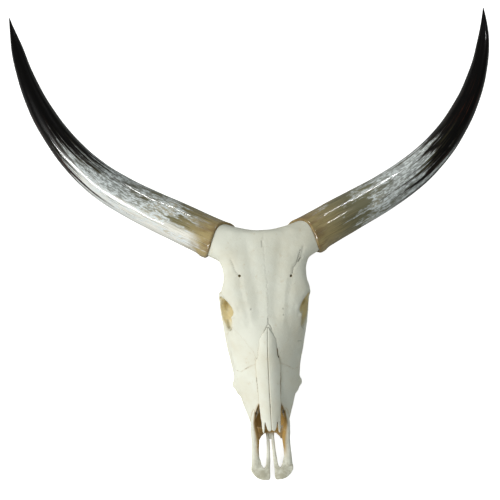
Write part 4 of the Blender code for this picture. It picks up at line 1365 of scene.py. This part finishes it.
def bone_material():
    """Bleached bone with its stains, and tooth where the mesh says so."""
    made, tree, shader = new_material("bleached bone")
    where = add_node(tree, "TexCoord").outputs["Object"]
    cloud = use_group(tree, clouds, {"Vector": where, "Scale": CLOUD_SCALE}).outputs
    patches = cloud["Patches"]
    tooth = attribute(tree, "tooth")
    pores = add_node(tree, "TexVoronoi", {"Vector": where, "Scale": PORE_SCALE, "Randomness": 1.0})
    pore = times(tree, between(tree, pores.outputs["Distance"], 0.26, 0.08),
                 between(tree, patches, 0.46, 0.66))
    shelter = math_node(tree, "ADD", attribute(tree, "shelter"), scaled(tree, patches, 0.34, -0.17))

    white = mixed(tree, between(tree, cloud["Clouds"], 0.38, 0.66), BONE_WHITE, BONE_CREAM)
    ivory = mixed(tree, between(tree, patches, 0.40, 0.64), ENAMEL, TOOTH_STAIN)
    colour = layered(tree, white, [
        (between(tree, patches, 0.62, 0.85), BONE_BUFF),
        # tan and brown where sheltered: stain and painted shade
        (between(tree, shelter, 0.22, 0.50), TAN_STAIN_AND_SHADE),
        (between(tree, shelter, 0.66, 0.95), BROWN_STAIN_AND_SHADE),
        # the nasal cavity: brown stain and painted shade
        (times(tree, attribute(tree, "cavity"), between(tree, patches, -0.1, 0.42)), CAVITY_STAIN_AND_SHADE),
        (times(tree, attribute(tree, "orbit"), between(tree, patches, 0.2, 0.46)), ORBIT_TAN),
        # the front of the jaw: wear and painted shade
        (times(tree, attribute(tree, "worn"), between(tree, patches, 0.3, 0.6)), WORN_AND_SHADED_FRONT),
        (attribute(tree, "mark"), CRACK_DARK),
        (times(tree, pore, 0.3), PORE_BROWN),
        (tooth, ivory),
    ])
    tree.links.new(colour, shader.inputs["Base Color"])

    rough = scaled(tree, between(tree, cloud["Grain"], 0.3, 0.7), 0.16, 0.52)
    rough = math_node(tree, "SUBTRACT", rough, times(tree, tooth, 0.32))
    tree.links.new(rough, shader.inputs["Roughness"])

    height = math_node(tree, "ADD", times(tree, cloud["Grain"], 0.30), times(tree, patches, 0.9))
    height = math_node(tree, "SUBTRACT", height, times(tree, pore, 0.5))
    bump = add_node(tree, "Bump", {"Height": height, "Strength": 0.5, "Distance": 0.0012})
    tree.links.new(bump.outputs["Normal"], shader.inputs["Normal"])
    shader.inputs["Specular IOR Level"].default_value = 0.35
    return made


bone_finish = bone_material()
print("bone:", len(bone_finish.node_tree.nodes), "nodes")

# %% [markdown]
# ## Horn
# Polished horn is layered keratin. It is amber at the rim, then grey under a frost of white where the
# fibres have split, and from the middle outwards black streaks join into a black tip. All of its
# pattern is stretched along the horn, so it reads the grain attribute: the direction round the horn
# and the share of its length. A clear coat gives the wet shine.

# %% The horn's fibres
# A noise is (label, how busy it is round the horn, how busy along it, detail).
FIBRES = [("Fine", 26, 9, 8), ("Streaks", 5.5, 2.6, 7), ("Blotches", 2.6, 10, 6), ("Frost", 13, 70, 3)]


def fibres_group():
    """Noise drawn out along the grain: fine fibres, broader streaks, blotches and the grain of frost."""
    group, given, result = new_group("fibres", {"Grain": "Vector", "Offset": "Float"},
                                     {label: "Float" for label, *_ in FIBRES})
    for label, around, along, detail in FIBRES:
        stretched = add_node(group, "Mapping", {"Vector": given.outputs["Grain"],
                                                "Scale": (around, around, along)}).outputs[0]
        cloud = add_node(group, "TexNoise", {"Vector": stretched, "W": given.outputs["Offset"], "Scale": 1.0,
                                             "Detail": detail, "Roughness": 0.65}, noise_dimensions="4D")
        group.links.new(cloud.outputs["Fac"], result.inputs[label])
    return group


fibres = fibres_group()
print("fibres:", [label for label, *_ in FIBRES])

# %% [markdown]
# ## The two horns
# Both horns are layered in the same order, from the ground colour at the rim to the black tip and
# the stain on the rim. They differ in where their black starts and in how their frost lies.

# %% The horn materials
HORN_BLACK = (0.0025, 0.002, 0.002)
HORN_BROWN = (0.030, 0.018, 0.012)
# Red-brown for streaks in the black: the horn's own colour and a painted sheen.
HORN_RED_SHEEN = (0.13, 0.035, 0.015)
HORN_STAIN = (0.17, 0.085, 0.028)
HORN_UMBER = (0.138, 0.125, 0.065)
HORN_AMBER = (0.42, 0.33, 0.155)
HORN_OLIVE = (0.20, 0.188, 0.11)
HORN_GREY = (0.165, 0.175, 0.165)
HORN_PALE = (0.78, 0.83, 0.84)
# Cream for the front of a horn: its pale keratin and a painted sheen of light on that side.
HORN_CREAM_AND_SHEEN = (0.90, 0.89, 0.83)


def horn_material(name, offset, black_from, late_at, pale, front_white_and_sheen, patchy, gather):
    """Horn. Its black starts later along late_at, a place from -1 (poll side) to 1 (front). pale is how
    much frost it carries, and the number after it how white its front is: pale keratin together with a
    painted sheen of the light on that side. The frost lies where the blotches rise over patchy, and
    more of it towards the black where gather is high."""
    made, tree, shader = new_material(name)
    grain = attribute(tree, "grain", "Vector")
    parts = add_node(tree, "SeparateXYZ", {0: grain}).outputs
    front, along = parts["X"], parts["Z"]
    fibre = use_group(tree, fibres, {"Grain": grain, "Offset": offset}).outputs
    fine, streaks, blotches, frost = (fibre[label] for label, *_ in FIBRES)

    def over(value, low, high):
        return between(tree, value, low, high)

    def pushed(value, amount, by):
        """A value pushed about by a noise, as far as the amount."""
        return math_node(tree, "ADD", value, scaled(tree, by, amount, -amount / 2))

    umber = times(tree, over(streaks, 0.50, 0.56), over(along, 0.04, 0.12), over(fine, 0.42, 0.5), 0.7)
    # The front turns cream: pale keratin and a painted sheen where the light falls on it.
    cream_and_sheen_mask = times(tree, over(pushed(front, 0.7, streaks), 0.25, 0.45),
                   over(pushed(along, 0.12, blotches), 0.03, 0.08),
                   scaled(tree, over(fine, 0.38, 0.52), 0.45, 0.55), front_white_and_sheen)
    tawny = times(tree, over(blotches, 0.54, 0.60), over(along, 0.30, 0.20), 0.75)

    gathered = scaled(tree, along, gather, -0.25 * gather)
    gathered = math_node(tree, "ADD", pushed(blotches, 0.5, streaks), gathered)
    patch = times(tree, over(gathered, patchy, patchy + 0.05), over(pushed(along, 0.35, streaks), 0.03, 0.14))
    speckled = scaled(tree, over(pushed(frost, 0.4, fine), 0.45, 0.55), 0.75, 0.25)
    dashes = times(tree, over(fine, 0.56, 0.60), over(streaks, 0.47, 0.53), over(along, 0.22, 0.34))

    apart = math_node(tree, "ABSOLUTE", math_node(tree, "SUBTRACT", front, late_at))
    reach = math_node(tree, "SUBTRACT", along, scaled(tree, over(apart, 0.7, 0.1), 0.10, 0))
    dark = over(pushed(reach, 0.95, streaks), black_from - 0.03, black_from + 0.02)
    black = over(pushed(pushed(reach, 0.85, streaks), 0.24, fine), black_from, black_from + 0.04)
    lines = times(tree, over(fine, 0.56, 0.62), over(along, black_from + 0.22, black_from + 0.04), 0.75)
    # Red-brown streaks in the black part: own colour and painted sheen together.
    glint = times(tree, over(streaks, 0.58, 0.64), over(along, 0.80, 0.66), over(fine, 0.5, 0.56), black, 0.8)

    rusty = times(tree, over(blotches, 0.50, 0.60), over(pushed(along, 0.08, fine), 0.10, 0.0))
    rim = times(tree, over(along, 0.010, 0.002), over(blotches, 0.35, 0.60))
    stained = times(tree, math_node(tree, "MAXIMUM", rusty, rim), 0.6)

    colour = layered(tree, HORN_AMBER, [
        (over(pushed(along, 0.2, blotches), 0.03, 0.16), HORN_OLIVE),
        (over(pushed(along, 0.4, streaks), 0.20, 0.36), HORN_GREY),
        (umber, HORN_UMBER),
        (cream_and_sheen_mask, HORN_CREAM_AND_SHEEN),
        (tawny, HORN_AMBER),
        (times(tree, patch, speckled, pale), HORN_PALE),
        (dashes, HORN_BROWN),
        (dark, HORN_BROWN),
        (black, HORN_BLACK),
        (lines, HORN_UMBER),
        (glint, HORN_RED_SHEEN),
        (stained, HORN_STAIN),
    ])
    tree.links.new(colour, shader.inputs["Base Color"])

    tree.links.new(scaled(tree, fine, 0.16, 0.24), shader.inputs["Roughness"])
    bump = add_node(tree, "Bump", {"Height": fine, "Strength": 0.05, "Distance": 0.0005})
    tree.links.new(bump.outputs["Normal"], shader.inputs["Normal"])
    shader.inputs["Specular IOR Level"].default_value = 0.25
    shader.inputs["Coat Weight"].default_value = 0.9
    shader.inputs["Coat Roughness"].default_value = 0.05
    return made


horn_finish = {
    "left": horn_material("horn, left", offset=1.7, black_from=0.43, late_at=-0.7, pale=0.9, front_white_and_sheen=0.0,
                          patchy=0.46, gather=0.7),
    "right": horn_material("horn, right", offset=5.2, black_from=0.46, late_at=0.2, pale=1.0, front_white_and_sheen=1.0,
                           patchy=0.45, gather=0.3),
}
print("horn:", len(horn_finish["left"].node_tree.nodes), "nodes")

# %% [markdown]
# ## Handing the pieces over
# Each bone and each sheath stands for the frame's node of the same name, which is hidden, and rides
# on the one body. Edges are shaded smooth unless they turn by more than 55 degrees.
# What was left in the workshop is thrown away.

# %% Finishing the pieces
SHARP_EDGE = math.radians(55)


def hand_over(piece, node, finish):
    """Gives a piece its finish, hides the frame's node that it stands for and puts it on the body."""
    workshop.objects.unlink(piece)
    finished.objects.link(piece)
    piece.data.materials.clear()
    piece.data.materials.append(finish)
    for face in piece.data.polygons:
        face.use_smooth = True
        face.material_index = 0
    piece.data.set_sharp_from_angle(angle=SHARP_EDGE)
    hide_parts(node)
    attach(piece, "root")


for name, bone in bones.items():
    bone.name = "bone_" + name
    hand_over(bone, name, bone_finish)
for which, sheath in sheaths.items():
    hand_over(sheath, "horn_" + which, horn_finish[which])
for leftover in list(workshop.objects):
    bpy.data.objects.remove(leftover)
bpy.data.collections.remove(workshop)

# %% [markdown]
# ## Floor
# The floor is pale and plain, and a little brighter to the camera than the light alone makes it. The
# polished horns mirror a darker one, so that their blacks stay deep.

# %% The floor
FLOOR_SIZE = 6
FLOOR_PALE, FLOOR_IN_SHINE = (0.78, 0.78, 0.78), (0.25, 0.25, 0.25)
FLOOR_GLOW = 0.78


def link(name, data):
    """An object of its own in the scene, beside the skull."""
    made = bpy.data.objects.new(name, data)
    bpy.context.scene.collection.objects.link(made)
    return made


def stage_floor():
    """The sheet that the skull lies on."""
    bm = bmesh.new()
    bmesh.ops.create_grid(bm, x_segments=2, y_segments=2, size=FLOOR_SIZE)
    mesh = bpy.data.meshes.new("floor")
    bm.to_mesh(mesh)
    bm.free()
    floor = link("floor", mesh)
    finish, tree, shader = new_material("pale floor")
    ray = add_node(tree, "LightPath").outputs
    colour = mixed(tree, ray["Is Glossy Ray"], FLOOR_PALE, FLOOR_IN_SHINE)
    tree.links.new(colour, shader.inputs["Base Color"])
    shader.inputs["Emission Color"].default_value = (1, 1, 1, 1)
    tree.links.new(scaled(tree, ray["Is Camera Ray"], FLOOR_GLOW, 0), shader.inputs["Emission Strength"])
    shader.inputs["Roughness"].default_value = 0.9
    shader.inputs["Specular IOR Level"].default_value = 0.1
    mesh.materials.append(finish)
    return floor


print("floor:", stage_floor().name)

# %% [markdown]
# ## Light
# One large soft sun rakes across from the left, so that the forehead turns from cream to grey-green,
# and a weak one fills the shade. The long narrow lights beyond the poll and in front of the skull are
# only there to be mirrored: they give the horns their thin lines of shine and light nothing else.

# %% Lights
WHITE = (1.0, 1.0, 1.0)
BETWEEN_HORNS = Vector((0, 0.2, 0.1))
WORLD_STRENGTH, WORLD_IN_SHINE = 0.24, 0.04
# A shine is (name, start, end, width, power). The places are in metres.
SHINES = [
    ("shine, left horn", (0.64, 2.34, 1.2), (-0.13, 1.42, 1.2), 0.06, 11.4),
    ("short shine, left horn", (1.26, 0.80, 1.5), (1.13, 0.62, 1.5), 0.04, 1.2),
    ("shine, right horn", (-2.40, -1.30, 1.5), (-1.05, -0.85, 1.5), 0.10, 18),
    ("short shine, right horn", (-0.20, 2.45, 1.2), (-0.08, 1.68, 1.2), 0.04, 5.2),
]


def area_light(name, place, size, power_watts):
    """A flat white light, size being its width and height in metres. It still has to be turned."""
    light = bpy.data.lights.new(name, "AREA")
    light.shape = "RECTANGLE"
    light.size, light.size_y = size
    light.energy = power_watts
    light.color = WHITE
    lamp = link(name, light)
    lamp.location = place
    lamp.rotation_mode = "QUATERNION"
    return lamp


def soft_box(name, place, aim, size, power_watts, spin):
    """A soft light aimed at a point, and turned by spin degrees in its own plane."""
    lamp = area_light(name, place, size, power_watts)
    turned = Matrix.Rotation(math.radians(spin), 4, "Z").to_quaternion()
    lamp.rotation_quaternion = (Vector(place) - Vector(aim)).to_track_quat("Z", "Y") @ turned


def shine_light(name, start, end, width, power_watts):
    """A narrow light from start to end that faces the horns and only shows in what mirrors it."""
    start, end = Vector(start), Vector(end)
    along = (end - start).normalized()
    middle = (start + end) / 2
    back = middle - BETWEEN_HORNS
    back = (back - along * back.dot(along)).normalized()
    lamp = area_light(name, middle, ((end - start).length, width), power_watts)
    lamp.rotation_quaternion = Matrix((along, back.cross(along), back)).transposed().to_quaternion()
    lamp.visible_camera = False
    lamp.visible_diffuse = False


def sun_light(name, towards, strength, spread_degrees, colour):
    """A wide, soft sun that polished things don't mirror. towards points from the skull to the light."""
    light = bpy.data.lights.new(name, "SUN")
    light.energy = strength
    light.angle = math.radians(spread_degrees)
    light.color = colour
    lamp = link(name, light)
    lamp.rotation_mode = "QUATERNION"
    lamp.rotation_quaternion = Vector(towards).to_track_quat("Z", "Y")
    lamp.visible_glossy = False


def even_light():
    """The world: a faint light from everywhere, fainter in what mirrors it, and white to the camera."""
    world = bpy.data.worlds.new("studio")
    bpy.context.scene.world = world
    world.use_nodes = True
    tree, walls = world.node_tree, world.node_tree.nodes["Background"]
    ray = add_node(tree, "LightPath").outputs
    tint = mixed(tree, ray["Is Camera Ray"], (0.94, 1.0, 0.97), WHITE)
    tree.links.new(tint, walls.inputs["Color"])
    strength = scaled(tree, ray["Is Glossy Ray"], WORLD_IN_SHINE - WORLD_STRENGTH, WORLD_STRENGTH)
    strength = scaled(tree, ray["Is Camera Ray"], 1 - WORLD_STRENGTH, strength)
    tree.links.new(strength, walls.inputs["Strength"])


sun_light("key", (-1.0, 0.12, 0.72), strength=1.9, spread_degrees=40, colour=(1.0, 0.99, 0.95))
sun_light("fill", (0.6, -0.1, 1.0), strength=0.39, spread_degrees=70, colour=(0.95, 1.0, 0.97))
soft_box("left softbox", (-1.15, -1.05, 1.15), aim=(-0.32, 0.15, 0.13), size=(0.9, 0.25), power_watts=8,
         spin=-35)
for shine in SHINES:
    shine_light(*shine)
even_light()
bpy.context.scene.view_settings.view_transform = "Standard"

# %% [markdown]
# ## The camera
# Its place, turn and focal length were solved from the horn tips, the eye sockets and the teeth of
# the nasal fork, so that these fall on the same pixels as in the photograph.

# %% The camera at the photograph's angle
CAMERA_PLACE = Vector((-132.5463, 180.1476, 2472.6932))
CAMERA_TURN = Vector((0.12400, -0.04240, -0.04960))  # its direction is the axis, its length the angle
FOCAL_PIXELS, FRAME_PIXELS, SENSOR_MM = 1146.9, 500, 36.0
lens = bpy.data.cameras.new("camera")
lens.sensor_width = SENSOR_MM
lens.lens = FOCAL_PIXELS * SENSOR_MM / FRAME_PIXELS
lens.clip_start, lens.clip_end = 0.05, 30
camera = link("camera", lens)
camera.location = (CAMERA_PLACE + Vector(shift)) * MM
camera.rotation_mode = "QUATERNION"
camera.rotation_quaternion = Matrix.Rotation(CAMERA_TURN.length, 4, CAMERA_TURN.normalized()).to_quaternion()
bpy.context.scene.camera = camera
print("lens:", round(lens.lens, 2), "mm, camera at", [round(c, 3) for c in camera.location])
